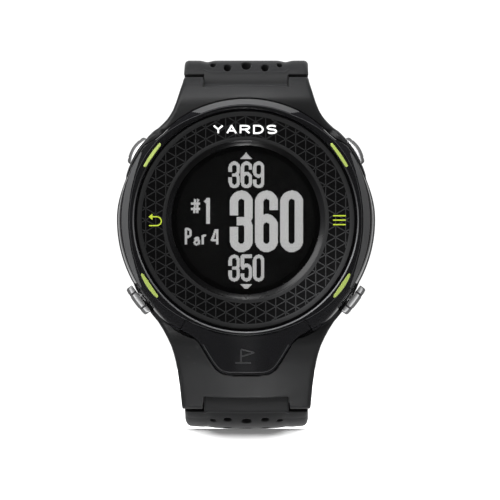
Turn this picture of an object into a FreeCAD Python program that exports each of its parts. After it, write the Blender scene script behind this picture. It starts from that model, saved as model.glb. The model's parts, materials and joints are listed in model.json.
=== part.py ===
import FreeCAD, Part
import math
import os
from FreeCAD import Placement, Rotation, Vector
import Sketcher

# Round golf GPS watch with strap and buckle, in millimetres.
# The dial faces -Y, 12 o'clock is +Z and 3 o'clock is +X.  The origin is on the dial axis
# at the flat case back.  A "level" is a height over the case back, so Y = -level.

doc = FreeCAD.newDocument("golf_watch")
sheet = doc.addObject("Spreadsheet::Sheet", "Dims")

# alias, value, note
DIMS = [
    ("case_radius", 23.0, "outer radius of the main case"),
    ("case_base_radius", 20.8, "outer radius at the back rim"),
    ("case_shelf_level", 9.4, "height of the shelf the upper ring sits on"),
    ("cavity_radius", 17.9, "bore of the main case"),
    ("cover_radius", 19.6, "back cover radius"),
    ("cover_thick", 1.6, "back cover thickness"),
    ("ledge_radius", 15.5, "inner radius of the ledge behind the cover"),
    ("ring_outer_radius", 22.7, "upper ring outer radius"),
    ("ring_inner_radius", 19.5, "upper ring inner radius above the bezel seat"),
    ("ring_crest_level", 13.5, "highest point of the upper ring"),
    ("bezel_outer_radius", 19.4, "bezel outer radius"),
    ("bezel_window_radius", 13.2, "bezel window radius"),
    ("bezel_crest_level", 13.25, "front of the lattice band"),
    ("lens_radius", 14.0, "cover glass radius"),
    ("lens_front_level", 12.5, "front face of the cover glass"),
    ("lens_thick", 0.9, "cover glass thickness"),
    ("display_radius", 12.8, "display module radius"),
    ("display_thick", 1.36, "display module thickness"),
    ("button_level", 7.1, "height of the button axes over the case back"),
    ("stem_radius", 0.9, "button stem radius"),
    ("stem_clearance", 0.05, "running clearance round each stem"),
    ("cap_span", 5.4, "button length along the case edge"),
    ("cap_tall", 3.2, "button height"),
    ("upper_angle", 32.5, "upper buttons above the horizontal, degrees"),
    ("lower_angle", 36.7, "lower buttons below the horizontal, degrees"),
    ("upper_cap_radius", 23.4, "reach of the upper buttons"),
    ("lower_cap_radius", 24.4, "reach of the lower buttons"),
    ("upper_pin_z", 22.8, "upper lug pin"),
    ("upper_pin_level", 4.6, "upper lug pin over the case back"),
    ("lower_pin_z", 29.8, "lower lug pin below the dial axis"),
    ("lower_pin_level", 1.4, "lower lug pin over the case back"),
    ("pin_radius", 0.9, "lug pin radius"),
    ("pin_clearance", 0.05, "running clearance of the strap on its pin"),
    ("knuckle_radius", 2.1, "strap knuckle radius"),
    ("shoulder_radius", 4.4, "radius of the strap shoulders about the lug pin"),
    ("tongue_wide", 14.3, "strap tongue between the lug ears"),
    ("pocket_wide", 14.8, "gap between the lug ears"),
    ("strap_wide", 22.0, "strap width by the case"),
    ("strap_end_wide", 19.8, "strap width at the buckle and tip"),
    ("taper_from", 5.0, "depth behind the case back where the strap starts to narrow"),
    ("taper_to", 27.0, "depth behind the case back where the strap has its end width"),
    ("strap_thick", 2.4, "strap thickness"),
    ("strap_root_thick", 3.4, "strap thickness by the case"),
    ("hole_pitch", 6.5, "pitch of the adjusting holes"),
    ("buckle_pin_radius", 0.8, "buckle pin radius"),
    ("buckle_inner", 20.4, "buckle clear width"),
    ("buckle_outer", 24.4, "buckle overall width"),
    ("keeper_wall", 1.2, "keeper wall"),
    ("accent_long", 4.7, "accent insert length"),
    ("accent_wide", 0.6, "accent insert width"),
    ("accent_radius", 20.4, "accent inserts from the dial axis"),
    ("accent_angle", 34.5, "accent inserts from the horizontal, degrees"),
    ("battery_long", 24.0, "battery length"),
    ("battery_wide", 18.0, "battery width"),
    ("battery_thick", 2.6, "battery thickness"),
    ("board_radius", 17.2, "main board radius"),
    ("board_level", 4.8, "rear face of the main board"),
    ("board_thick", 0.8, "main board thickness"),
]
for row, (alias, number, note) in enumerate(DIMS, 1):
    sheet.set("A%d" % row, note)
    sheet.set("B%d" % row, str(number))
    sheet.setAlias("B%d" % row, alias)
doc.recompute()


# ---------------------------------------------------------------- dimensions as expressions
class Dim:
    """A length that knows its number and its sheet expression."""

    def __init__(self, value, text):
        self.value = float(value)
        self.text = text

    @staticmethod
    def of(x):
        if isinstance(x, Dim):
            return x
        return Dim(x, "(%.6f)" % x if x >= 0 else "(0 - %.6f)" % -x)

    def __add__(self, other):
        other = Dim.of(other)
        return Dim(self.value + other.value, "(%s + %s)" % (self.text, other.text))

    __radd__ = __add__

    def __sub__(self, other):
        other = Dim.of(other)
        return Dim(self.value - other.value, "(%s - %s)" % (self.text, other.text))

    def __truediv__(self, other):
        other = Dim.of(other)
        return Dim(self.value / other.value, "(%s / %s)" % (self.text, other.text))

    def __neg__(self):
        return Dim(-self.value, "(0 - %s)" % self.text)


def dim(alias):
    """A sheet dimension that stays linked to the sheet."""
    return Dim(getattr(sheet, alias), "Dims." + alias)


def size(alias):
    """A sheet dimension as a plain number."""
    return dim(alias).value


def bind(obj, prop, length):
    obj.setExpression(prop, Dim.of(length).text)


# ---------------------------------------------------------------- sketched bodies
X_AXIS = Vector(1, 0, 0)
Y_AXIS = Vector(0, 1, 0)
Z_AXIS = Vector(0, 0, 1)
SKETCH_H_AXIS, SKETCH_V_AXIS = -1, -2
START, END, CENTRE = 1, 2, 3  # sketcher numbers for the points of an edge


def dimension(sketch, length, *target):
    index = sketch.addConstraint(Sketcher.Constraint(*target, length.value))
    sketch.setExpression("Constraints[%d]" % index, length.text)


def locate(sketch, edge, point, x, y):
    """Dimension one point from the sketch origin; a zero puts it on the axis instead."""
    for kind, length, axis in (("DistanceX", x, SKETCH_V_AXIS), ("DistanceY", y, SKETCH_H_AXIS)):
        if abs(length.value) < 1e-9:
            sketch.addConstraint(Sketcher.Constraint("PointOnObject", edge, point, axis))
        else:
            dimension(sketch, length, kind, edge, point)


def add_circle(sketch, x, y, radius):
    circle = Part.Circle(Vector(x.value, y.value, 0), Z_AXIS, radius.value)
    edge = sketch.addGeometry(circle, False)
    dimension(sketch, radius, "Radius", edge)
    locate(sketch, edge, CENTRE, x, y)


def add_polygon(sketch, points):
    corners = [Vector(x.value, y.value, 0) for x, y in points]
    edges = [sketch.addGeometry(Part.LineSegment(a, b), False)
             for a, b in zip(corners, corners[1:] + corners[:1])]
    for edge, following in zip(edges, edges[1:] + edges[:1]):
        sketch.addConstraint(Sketcher.Constraint("Coincident", edge, END, following, START))
    for edge, (x, y) in zip(edges, points):
        locate(sketch, edge, START, x, y)


def add_sketch(body, role, loops, lift=0.0):
    """Closed loops on one origin plane; a loop is a point list or ("circle", x, y, radius)."""
    sketch = body.newObject("Sketcher::SketchObject", body.Name + "_sketch")
    plane = [f for f in body.Origin.OriginFeatures if f.Role == role][0]
    sketch.AttachmentSupport = [(plane, "")]
    sketch.MapMode = "FlatFace"
    lift = Dim.of(lift)
    sketch.AttachmentOffset = Placement(Vector(0, 0, lift.value), Rotation())
    sketch.setExpression("AttachmentOffset.Base.z", lift.text)
    for loop in loops:
        if loop[0] == "circle":
            add_circle(sketch, *[Dim.of(number) for number in loop[1:]])
        else:
            add_polygon(sketch, [(Dim.of(x), Dim.of(y)) for x, y in loop])
    return sketch


def revolved(name, points):
    """Ring or disc about the dial axis from (radius, level) points."""
    body = doc.addObject("PartDesign::Body", name)
    sketch = add_sketch(body, "XY_Plane", [[(radius, -Dim.of(level)) for radius, level in points]])
    turn = body.newObject("PartDesign::Revolution", name + "_rev")
    turn.Profile = sketch
    turn.ReferenceAxis = (sketch, ["V_Axis"])
    turn.Angle = 360
    return body


def padded(name, role, loops, low, high):
    """Straight pad between two offsets along the normal of an origin plane."""
    body = doc.addObject("PartDesign::Body", name)
    sketch = add_sketch(body, role, loops, low)
    pad = body.newObject("PartDesign::Pad", name + "_pad")
    pad.Profile = sketch
    bind(pad, "Length", Dim.of(high) - Dim.of(low))
    return body


def plate(name, loops, low, high):
    """Front-view outline (X, Z) between two levels."""
    return padded(name, "XZ_Plane", loops, low, high)


def slab(name, loops, low, high):
    """Side-view outline (Y, Z) between two X values."""
    return padded(name, "YZ_Plane", loops, low, high)


def rect(x0, x1, y0, y1):
    return [(x0, y0), (x1, y0), (x1, y1), (x0, y1)]


def mirrored(half):
    """An open outline followed by its mirror image in the first coordinate."""
    return half + [(-x, y) for x, y in reversed(half)]


# ---------------------------------------------------------------- primitives and booleans
def placed_cylinder(name, radius, length, placement):
    obj = doc.addObject("Part::Cylinder", name)
    bind(obj, "Radius", radius)
    bind(obj, "Height", length)
    obj.Placement = placement
    return obj


def cylinder(name, radius, length, base, direction):
    turn = Rotation(Z_AXIS, Vector(*direction))
    return placed_cylinder(name, radius, length, Placement(Vector(*base), turn))


def block(name, sizes, base, rotation=None):
    obj = doc.addObject("Part::Box", name)
    for prop, length in zip(("Length", "Width", "Height"), sizes):
        bind(obj, prop, length)
    obj.Placement = Placement(Vector(*base), rotation or Rotation())
    return obj


def frame_at(angle, radius, level):
    """Local X radial outward, local Y towards the case back, local Z along the case edge.

    The angle lies in the dial plane, in degrees from +X towards +Z.
    """
    turn = math.radians(angle)
    base = Vector(radius * math.cos(turn), -level, radius * math.sin(turn))
    return Placement(base, Rotation(Y_AXIS, -angle))


def radial_cylinder(name, radius, length, frame, start):
    """Cylinder along a frame's local X."""
    turn = frame.Rotation.multiply(Rotation(Y_AXIS, 90))
    return placed_cylinder(name, radius, length, Placement(frame.multVec(Vector(start, 0, 0)), turn))


def radial_tube(name, outer, inner, length, frame, start):
    solid = radial_cylinder(name + "_outer", outer, length, frame, start)
    return cut(name, solid, [radial_cylinder(name + "_inner", inner, length, frame, start)])


def radial_block(name, sizes, frame, corner):
    return block(name, sizes, frame.multVec(Vector(*corner)), frame.Rotation)


def fused(name, shapes):
    obj = doc.addObject("Part::MultiFuse", name)
    obj.Shapes = shapes
    return obj


def cut(name, base, tools):
    obj = doc.addObject("Part::Cut", name)
    obj.Base = base
    obj.Tool = tools[0] if len(tools) == 1 else fused(name + "_tools", tools)
    return obj


def common(name, base, tool):
    obj = doc.addObject("Part::Common", name)
    obj.Base = base
    obj.Tool = tool
    return obj


def group(name, links):
    obj = doc.addObject("Part::Compound", name)
    obj.Links = links
    return obj


def feature(name, shape, placement=None):
    obj = doc.addObject("Part::Feature", name)
    obj.Shape = shape
    if placement is not None:
        obj.Placement = placement
    return obj


finished = []


def part(obj):
    """Mark an object for export; its label names the file."""
    finished.append(obj)


# ---------------------------------------------------------------- shared places
SHELF = dim("case_shelf_level")
COVER_THICK = dim("cover_thick")
COVER_BORE = dim("cover_radius") + 0.1
LEDGE_LEVEL = 3.2  # front of the ledge

# groove for the case seal, in the rear of the ledge
GROOVE_INNER, GROOVE_OUTER, GROOVE_TOP = 16.3, 17.1, 2.3

# name, angle in the dial plane from +X in degrees, reach from the dial axis
BUTTONS = [
    ("upper_right", size("upper_angle"), size("upper_cap_radius")),
    ("upper_left", 180.0 - size("upper_angle"), size("upper_cap_radius")),
    ("lower_right", -size("lower_angle"), size("lower_cap_radius")),
    ("lower_left", 180.0 + size("lower_angle"), size("lower_cap_radius")),
]
STEM = dim("stem_radius")
CAP_TALL, CAP_SPAN = dim("cap_tall"), dim("cap_span")


def button_frame(angle):
    return frame_at(angle, 0, size("button_level"))


# lug pins: name, Z, level
UPPER_PIN = ("upper", size("upper_pin_z"), size("upper_pin_level"))
LOWER_PIN = ("lower", -size("lower_pin_z"), size("lower_pin_level"))
LUG_SEAT = 10.3  # X where the pin bore opens into the wider screw head bores

# back cover screws as (X, Z)
COVER_SCREW_CIRCLE = 18.55
COVER_SCREWS = [(COVER_SCREW_CIRCLE * math.cos(math.radians(angle)),
                 COVER_SCREW_CIRCLE * math.sin(math.radians(angle)))
                for angle in (45, 135, 225, 315)]

# side of the antenna cover as (X, Z), from the ring down to its lower edge
TONGUE_HALF = [
    (-10.6, -17.75), (-11.65, -19.5), (-9.3, -20.8), (-8.27, -21.8), (-7.4, -23.3),
    (-6.44, -24.9), (-5.34, -26.5), (-4.2, -27.3), (-2.2, -27.6)]
TONGUE_ARC_RADIUS = 20.65
TONGUE_ARC_HALF_ANGLE = 31.0
TONGUE_ARC_STEPS = 12


def tongue_loop(grow):
    """Outline of the antenna cover, opened outward by grow; an arc closes its top."""
    half = [(x - grow, z - (grow if z < -21 else 0)) for x, z in TONGUE_HALF]
    radius = TONGUE_ARC_RADIUS - grow
    arc = []
    for i in range(TONGUE_ARC_STEPS + 1):
        turn = math.radians(-90 + TONGUE_ARC_HALF_ANGLE
                            - i * 2 * TONGUE_ARC_HALF_ANGLE / TONGUE_ARC_STEPS)
        arc.append((radius * math.cos(turn), radius * math.sin(turn)))
    return mirrored(half) + arc


# ---------------------------------------------------------------- main case
# right halves of the hood plans as (X, Z)
UPPER_HOOD_HALF = [
    (16.6, 15.3), (15.6, 16.0), (14.7, 16.7), (14.2, 17.4), (13.7, 18.1), (12.9, 19.5),
    (12.3, 21.0), (11.9, 22.4), (11.7, 23.8), (11.4, 25.4), (7.6, 25.4), (7.3, 24.3)]
LOWER_HOOD_HALF = [
    (20.2, -12.2), (18.9, -14.3), (16.9, -16.7), (16.2, -17.4), (15.6, -18.1), (15.1, -18.8),
    (14.7, -19.5), (13.9, -21.0), (13.3, -22.4), (12.8, -23.8), (12.4, -25.2), (12.2, -26.6),
    (12.0, -28.1), (11.8, -29.5), (11.6, -31.6), (11.3, -33.6), (7.9, -33.6), (7.5, -31.6)]
# side profiles as (Y, Z): the hoods fall away towards the wrist
UPPER_HOOD_SIDE = [
    (-2.4, 15.0), (-10.9, 15.0), (-11.2, 21.6), (-10.2, 22.9), (-8.7, 24.3), (-7.2, 25.4),
    (-2.6, 25.4), (-1.6, 24.6), (-1.5, 22.0)]
LOWER_HOOD_SIDE = [
    (-2.4, -12.0), (-9.0, -12.0), (-10.6, -19.5), (-10.9, -21.6), (-10.2, -23.4), (-9.6, -25.0),
    (-8.3, -27.2), (-7.2, -29.0), (-5.1, -32.0), (-3.4, -33.6), (0.4, -33.6), (1.4, -32.8),
    (1.6, -31.0), (0.6, -27.0), (-0.6, -22.0), (-1.5, -19.8)]


def case_bowl():
    case_radius = dim("case_radius")
    cavity, ledge = dim("cavity_radius"), dim("ledge_radius")
    rim_level = 0.3
    return revolved("case_bowl", [
        (COVER_BORE, rim_level), (dim("case_base_radius"), rim_level), (21.9, 2.2), (22.9, 5.0),
        (case_radius, 7.0), (case_radius - 0.05, 8.6), (dim("ring_outer_radius"), SHELF),
        (cavity, SHELF), (cavity, LEDGE_LEVEL), (ledge, LEDGE_LEVEL), (ledge, COVER_THICK),
        (GROOVE_INNER, COVER_THICK), (GROOVE_INNER, GROOVE_TOP), (GROOVE_OUTER, GROOVE_TOP),
        (GROOVE_OUTER, COVER_THICK), (COVER_BORE, COVER_THICK)])


def hood(name, half_plan, side, x_low, x_high):
    """A hood is the overlap of its front-view plan and its side profile."""
    profile = slab(name + "_side", [side], x_low, x_high)
    return common(name, plate(name + "_plan", [mirrored(half_plan)], -2.0, 12.0), profile)


def case_rooms():
    """Room for the upper ring, the antenna cover and everything inside."""
    top = 14.0
    ring_room = plate("ring_room", [("circle", 0, 0, dim("ring_outer_radius") + 0.05)],
                      SHELF + 0.02, top)
    ring_limit = block("ring_room_limit", (60, 20, 60), (-30, -20, -38.45))
    return [
        common("ring_envelope", ring_room, ring_limit),
        plate("cover_room", [tongue_loop(0.05)], 7.6, top),
        plate("main_bore", [("circle", 0, 0, dim("cavity_radius"))], LEDGE_LEVEL, top),
        plate("rear_bore", [("circle", 0, 0, COVER_BORE)], -3.0, COVER_THICK),
        plate("ledge_bore", [("circle", 0, 0, dim("ledge_radius"))], 1.0, LEDGE_LEVEL + 0.2),
        revolved("seal_groove", rect(GROOVE_INNER, GROOVE_OUTER, 1.2, GROOVE_TOP)),
        block("antenna_room", (14.6, 2.9, 6.9), (-7.3, -7.6, -26.7)),
        block("antenna_port", (4.0, 1.5, 4.0), (-2.0, -7.0, -20.2)),
    ]


def lug_tools():
    """Strap pockets between the ears, then the pin and screw head bores."""
    half = dim("pocket_wide") / 2
    tools = [slab("upper_pocket", [rect(6.0, -7.1, 20.5, 27.0)], -half, half),
             slab("lower_pocket", [rect(6.0, -3.9, -27.4, -36.0)], -half, half)]
    for name, z, level in (UPPER_PIN, LOWER_PIN):
        tools.append(cylinder(name + "_pin_bore", dim("pin_radius") + 0.02, 2 * LUG_SEAT,
                              (-LUG_SEAT, -level, z), (1, 0, 0)))
        for side_name, side in (("right", 1), ("left", -1)):
            tools.append(cylinder("%s_%s_head_bore" % (name, side_name), 1.5, 4.0,
                                  (side * LUG_SEAT, -level, z), (side, 0, 0)))
    return tools


def button_tools():
    """Per button: the stem bore, a wider outer bore and the well the cap moves in."""
    well_tall, well_span = CAP_TALL + 0.2, CAP_SPAN + 0.2
    tools = []
    for name, angle, reach in BUTTONS:
        frame = button_frame(angle)
        tools += [
            radial_cylinder("bore_" + name, STEM + dim("stem_clearance"), 12.0, frame, 15.5),
            radial_cylinder("spring_bore_" + name, 1.25, 4.0, frame, reach - 4.2),
            radial_block("well_" + name, (6.0, well_tall, well_span), frame,
                         (reach - 2.4, -well_tall.value / 2, -well_span.value / 2))]
    return tools


def make_case():
    solid = fused("case_solid", [
        case_bowl(),
        hood("upper_hood", UPPER_HOOD_HALF, UPPER_HOOD_SIDE, -14.0, 28.0),
        hood("lower_hood", LOWER_HOOD_HALF, LOWER_HOOD_SIDE, -21.0, 42.0)])
    screw_holes = [cylinder("screw_hole_%d" % i, 0.47, 5.0, (x, 0.0, z), (0, -1, 0))
                   for i, (x, z) in enumerate(COVER_SCREWS)]
    part(cut("case_chassis", solid, case_rooms() + lug_tools() + button_tools() + screw_holes))


# ---------------------------------------------------------------- glossy upper ring
# planar facets: clock position, angle, distance from the dial axis, tilt in degrees
FACETS = [("three", 0.0, 20.9, -40.0), ("nine", 180.0, 20.9, -40.0), ("twelve", 90.0, 20.45, -35.0)]
FACET_LEVEL = 13.4


def make_top_ring():
    """The ring with its four accent inserts."""
    inner, outer, crest = dim("ring_inner_radius"), dim("ring_outer_radius"), dim("ring_crest_level")
    seat_radius, seat_level = 18.3, 11.3
    ring = revolved("top_ring", [
        (inner, seat_level), (inner, 13.2), (19.8, crest), (20.35, crest - 0.1), (21.4, 12.2),
        (22.35, 10.8), (outer, SHELF + 0.25), (outer, SHELF + 0.05),
        (seat_radius, SHELF + 0.05), (seat_radius, seat_level)])
    tools = [block("ring_top_cut", (60, 20, 10), (-30, -20, 21.5)),
             plate("ring_tongue_cut", [tongue_loop(0.05)], 8.0, 15.0)]
    for name, angle, distance, tilt in FACETS:
        frame = frame_at(angle, distance, FACET_LEVEL)
        tilted = Placement(frame.Base, frame.Rotation.multiply(Rotation(Z_AXIS, tilt)))
        tools.append(radial_block("facet_" + name, (8.0, 8.0, 30.0), tilted, (0, -8.0, -15.0)))

    wide, long, angle = dim("accent_wide"), dim("accent_long"), size("accent_angle")
    gap = 0.02
    inserts = []
    for name, turn in (("ne", angle), ("nw", 180 - angle), ("sw", 180 + angle), ("se", -angle)):
        frame = frame_at(turn, size("accent_radius"), 0)
        x, z = -wide.value / 2, -long.value / 2
        tools.append(radial_block("accent_slot_" + name, (wide, 4.0, long), frame, (x, -16.2, z)))
        inserts.append(radial_block("accent_" + name, (wide - 2 * gap, 1.05, long - 2 * gap),
                                    frame, (x + gap, -13.3, z + gap)))
    part(cut("top_case", ring, tools))
    part(group("accent_inserts", inserts))


# ---------------------------------------------------------------- antenna cover
# side profiles as (Y, Z)
ANTENNA_COVER_SIDE = [
    (-8.4, -17.0), (-13.1, -17.0), (-13.0, -20.7), (-12.3, -21.6), (-11.4, -23.0),
    (-10.6, -24.4), (-9.4, -26.3), (-8.3, -27.7), (-8.4, -24.4)]
FLAG_SIDE = [
    (-9.5, -21.5), (-12.55, -21.5), (-11.65, -23.0), (-10.85, -24.4), (-10.0, -25.7), (-9.0, -25.7)]
# raised flag with an open centre, as (X, Z)
FLAG_OUTER = [
    (-1.9, -25.5), (0.9, -25.5), (0.9, -25.1), (-0.65, -25.1), (-0.65, -24.5), (1.95, -23.6),
    (-1.05, -22.7), (-1.05, -25.1), (-1.9, -25.1)]
FLAG_INNER = [(-0.65, -23.2), (0.95, -23.62), (-0.65, -24.07)]


def make_antenna_cover():
    side = slab("cover_side", [ANTENNA_COVER_SIDE], -14.0, 28.0)
    body = common("cover_body", plate("cover_plan", [tongue_loop(0.0)], 7.0, 14.0), side)
    flag_side = slab("flag_side", [FLAG_SIDE], -3.0, 6.0)
    flag = common("flag_bar", plate("flag_plan", [FLAG_OUTER, FLAG_INNER], 8.0, 14.0), flag_side)
    core = plate("antenna_cover_core", [("circle", 0, 0, dim("ring_outer_radius") - 4.39)],
                 8.0, 15.0)
    part(cut("antenna_cover", fused("antenna_cover_solid", [body, flag]), [core]))


# ---------------------------------------------------------------- bezel, glass, display stack
def make_bezel():
    outer, crest = dim("bezel_outer_radius"), dim("bezel_crest_level")
    lens_bore, lip = dim("lens_radius") + 0.1, dim("lens_front_level") + 0.05
    rear = 11.35
    part(revolved("bezel_ring", [
        (dim("bezel_window_radius"), lip), (14.0, 13.1), (14.75, crest), (18.5, crest),
        (outer, 13.0), (outer, rear), (lens_bore, rear), (lens_bore, lip)]))


def make_lens():
    radius, front = dim("lens_radius"), dim("lens_front_level")
    rear = front - dim("lens_thick")
    chamfer = 0.15
    part(revolved("lens", [(0, front), (radius - chamfer, front), (radius, front - chamfer),
                           (radius, rear), (0, rear)]))
    part(revolved("lens_gasket", rect(13.05, radius, 11.33, 11.58)))


def make_display():
    """Touch sensor, display, backlight and the frame that holds them."""
    radius = dim("display_radius")
    rear = 9.9
    part(revolved("touch_sensor", rect(0, 12.95, 11.3, 11.56)))
    part(revolved("display_module", rect(0, radius, rear, rear + dim("display_thick"))))
    part(revolved("backlight_unit", rect(0, radius, 8.9, rear - 0.04)))
    floor_rear, floor_front = 8.0, 8.85
    flange_rear, flange_front = 10.3, 11.25
    part(revolved("display_frame", [
        (0, floor_rear), (14.6, floor_rear), (14.6, flange_rear), (17.7, flange_rear),
        (17.7, flange_front), (radius + 0.1, flange_front), (radius + 0.1, floor_front),
        (0, floor_front)]))


# ---------------------------------------------------------------- electronics
BOARD_FRONT = dim("board_level") + dim("board_thick")
ON_BOARD = -(BOARD_FRONT.value + 0.02)  # Y just in front of the board
BOARD_SCREWS = [(0.0, 15.4), (-14.9, -2.0), (14.9, -2.0)]  # (X, Z)
# name, size in X, thickness, size in Z, lowest X, lowest Z
CHIPS = [
    ("processor", 7.0, 0.8, 6.0, -3.5, 2.0),
    ("gps_receiver", 4.0, 0.9, 4.0, -11.5, 2.0),
    ("flash_memory", 3.6, 0.8, 4.6, 8.2, 2.0),
    ("radio", 3.0, 0.8, 3.0, 8.6, -4.0),
]
CHIP_GAP = 0.03


def make_board():
    part(plate("main_board", [("circle", 0, 0, dim("board_radius"))] +
               [("circle", x, z, 0.75) for x, z in BOARD_SCREWS], dim("board_level"), BOARD_FRONT))
    screws = []
    for i, (x, z) in enumerate(BOARD_SCREWS):
        shank = cylinder("board_screw_shank_%d" % i, 0.6, 1.5, (x, ON_BOARD, z), (0, 1, 0))
        head = cylinder("board_screw_head_%d" % i, 1.1, 0.7, (x, ON_BOARD, z), (0, -1, 0))
        screws.append(fused("board_screw_%d" % i, [shank, head]))
    part(group("board_screws", screws))


def make_shield_can():
    """Thin-walled box, open towards the board."""
    wide, deep, tall, wall = 12.0, 1.4, 9.0, 0.2
    x, y, z = -wide / 2, ON_BOARD - deep, 0.5
    can = block("can_outer", (wide, deep, tall), (x, y, z))
    hollow = block("can_inner", (wide - 2 * wall, 1.3, tall - 2 * wall),
                   (x + wall, y + wall, z + wall))
    part(cut("shield_can", can, [hollow]))


def make_chips():
    part(group("board_chips", [
        block(name, (wide, thick, tall), (x, -(BOARD_FRONT.value + CHIP_GAP + thick), z))
        for name, wide, thick, tall, x, z in CHIPS]))


def make_switches():
    part(group("side_switches", [
        radial_block("switch_" + name, (1.5, 2.2, 2.8), button_frame(angle), (14.7, -0.75, -1.4))
        for name, angle, _ in BUTTONS]))


def make_antenna():
    part(plate("gps_patch_antenna", [rect(-6.6, 6.6, -26.4, -20.6)], 4.75, 7.35))
    wide, rear_y = 2.0, -6.4
    cable = fused("antenna_cable", [
        block("cable_run", (wide, 0.3, 7.0), (-wide / 2, rear_y, -20.58)),
        block("cable_foot", (wide, 0.76, 1.4), (-wide / 2, rear_y, -15.3))])
    cable.Refine = True
    part(cable)


def make_battery():
    half_long, half_wide = dim("battery_long") / 2, dim("battery_wide") / 2
    rear = 1.95
    part(plate("battery", [rect(-half_long, half_long, -half_wide, half_wide)],
               rear, rear + dim("battery_thick")))


def make_electronics():
    make_board()
    make_shield_can()
    make_chips()
    make_switches()
    part(block("display_flex_cable", (7.0, 4.6, 0.14), (-11.0, -10.25, 11.6),
               Rotation(Y_AXIS, -40)))
    make_antenna()
    make_battery()
    part(cylinder("vibration_motor", 3.6, 2.1, (0, ON_BOARD, -8.2), (0, -1, 0)))
    part(cylinder("piezo_buzzer", 3.4, 0.8, (-8.9, ON_BOARD, -2.6), (0, -1, 0)))


# ---------------------------------------------------------------- back of the case
CONTACTS_X = (-4.2, -1.4, 1.4, 4.2)
CONTACTS_Z = -13.2


def make_back_cover():
    radius, front, chamfer = dim("cover_radius"), COVER_THICK - 0.02, 0.3
    disc = revolved("cover_disc", [(0, 0), (radius - chamfer, 0), (radius, chamfer),
                                   (radius, front), (0, front)])
    tools = [cylinder("contact_hole_%d" % i, 0.75, 4.0, (x, 1.0, CONTACTS_Z), (0, -1, 0))
             for i, x in enumerate(CONTACTS_X)]
    for i, (x, z) in enumerate(COVER_SCREWS):
        tools.append(cylinder("cover_screw_hole_%d" % i, 0.52, 4.0, (x, 1.0, z), (0, -1, 0)))
        tools.append(cylinder("cover_screw_sink_%d" % i, 0.98, 0.9, (x, 0.1, z), (0, -1, 0)))
    part(cut("back_cover", disc, tools))


def make_contacts():
    part(group("charging_contacts", [
        cylinder("contact_%d" % i, 0.7, 4.6, (x, -0.1, CONTACTS_Z), (0, -1, 0))
        for i, x in enumerate(CONTACTS_X)]))
    part(plate("contact_block", [rect(-5.8, 5.8, CONTACTS_Z - 1.0, CONTACTS_Z + 1.0)] +
               [("circle", x, CONTACTS_Z, 0.73) for x in CONTACTS_X], 1.62, 3.2))


def make_cover_screws():
    screws = []
    for i, (x, z) in enumerate(COVER_SCREWS):
        head = cylinder("cover_screw_head_%d" % i, 0.93, 0.62, (x, -0.15, z), (0, -1, 0))
        slot = block("cover_screw_slot_%d" % i, (1.3, 0.3, 0.26), (x - 0.65, -0.4, z - 0.13))
        shank = cylinder("cover_screw_shank_%d" % i, 0.45, 4.1, (x, -0.6, z), (0, -1, 0))
        body = fused("cover_screw_body_%d" % i, [head, shank])
        screws.append(cut("cover_screw_%d" % i, body, [slot]))
    part(group("back_cover_screws", screws))


def make_case_back():
    part(revolved("case_seal", rect(GROOVE_INNER + 0.1, GROOVE_OUTER - 0.1, 1.62, 2.24)))
    make_back_cover()
    make_contacts()
    make_cover_screws()


# ---------------------------------------------------------------- side buttons
# radial places along a button axis
STEM_START = 16.95
CLIP_GROOVE_START = 17.46
CAP_THICK = 1.15
COIL_PITCH = 0.525


def make_button_cap(name, frame, reach):
    """Rectangular cap on a stem with one groove for the clip and one for the seal."""
    head = radial_block("cap_block_" + name, (CAP_THICK, CAP_TALL, CAP_SPAN), frame,
                        (reach - CAP_THICK, -CAP_TALL.value / 2, -CAP_SPAN.value / 2))
    stem = radial_cylinder("stem_" + name, STEM, reach - 0.5 - STEM_START, frame, STEM_START)
    clip_groove = radial_tube("clip_groove_" + name, 2.0, STEM - 0.3, 0.32,
                              frame, CLIP_GROOVE_START)
    seal_groove = radial_tube("seal_groove_" + name, 2.0, STEM - 0.25, 0.7, frame, reach - 3.45)
    part(cut("button_cap_" + name, fused("button_solid_" + name, [head, stem]),
             [clip_groove, seal_groove]))


def make_button_clip(name, frame):
    """Ring in the clip groove, open on the side towards the case back."""
    start, thick = CLIP_GROOVE_START + 0.02, 0.28
    outer = radial_cylinder("clip_outer_" + name, 1.35, thick, frame, start)
    inner = radial_cylinder("clip_inner_" + name, STEM - 0.28, thick, frame, start)
    mouth = radial_block("clip_mouth_" + name, (0.5, 3.0, 1.0), frame, (17.4, 0, -0.5))
    part(cut("button_clip_" + name, outer, [inner, mouth]))


def make_button_spring(name, frame, reach):
    """Return spring under the cap: three coils of flat wire joined by two links."""
    coils = [radial_cylinder("coil_outer_%s_%d" % (name, i), 1.56, 0.16, frame,
                             reach - 2.38 + i * COIL_PITCH) for i in range(3)]
    links = [radial_block("coil_link_%s_%d" % (name, i), (0.6, 0.4, 0.22), frame,
                          (reach - 2.3 + i * COIL_PITCH, -0.2, z))
             for i, z in enumerate((-1.47, 1.25))]
    bore = radial_cylinder("coil_bore_" + name, STEM + 0.3, 3.0, frame, reach - 3.5)
    part(cut("button_spring_" + name, fused("coils_" + name, coils + links), [bore]))


def make_buttons():
    for name, angle, reach in BUTTONS:
        frame = button_frame(angle)
        make_button_cap(name, frame, reach)
        make_button_clip(name, frame)
        part(radial_tube("button_seal_" + name, 1.22, STEM - 0.23, 0.6, frame, reach - 3.4))
        make_button_spring(name, frame, reach)


# ---------------------------------------------------------------- lug pins and their screws
def lug_pin(name, z, level):
    """Rod with a tapped hole in each end."""
    half = LUG_SEAT - 0.1
    rod = cylinder(name + "_rod", dim("pin_radius"), 2 * half, (-half, -level, z), (1, 0, 0))
    taps = [cylinder("%s_tap_%d" % (name, side), 0.5, 2.5,
                     (side * LUG_SEAT, -level, z), (-side, 0, 0)) for side in (1, -1)]
    return cut(name + "_lug_pin", rod, taps)


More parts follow.
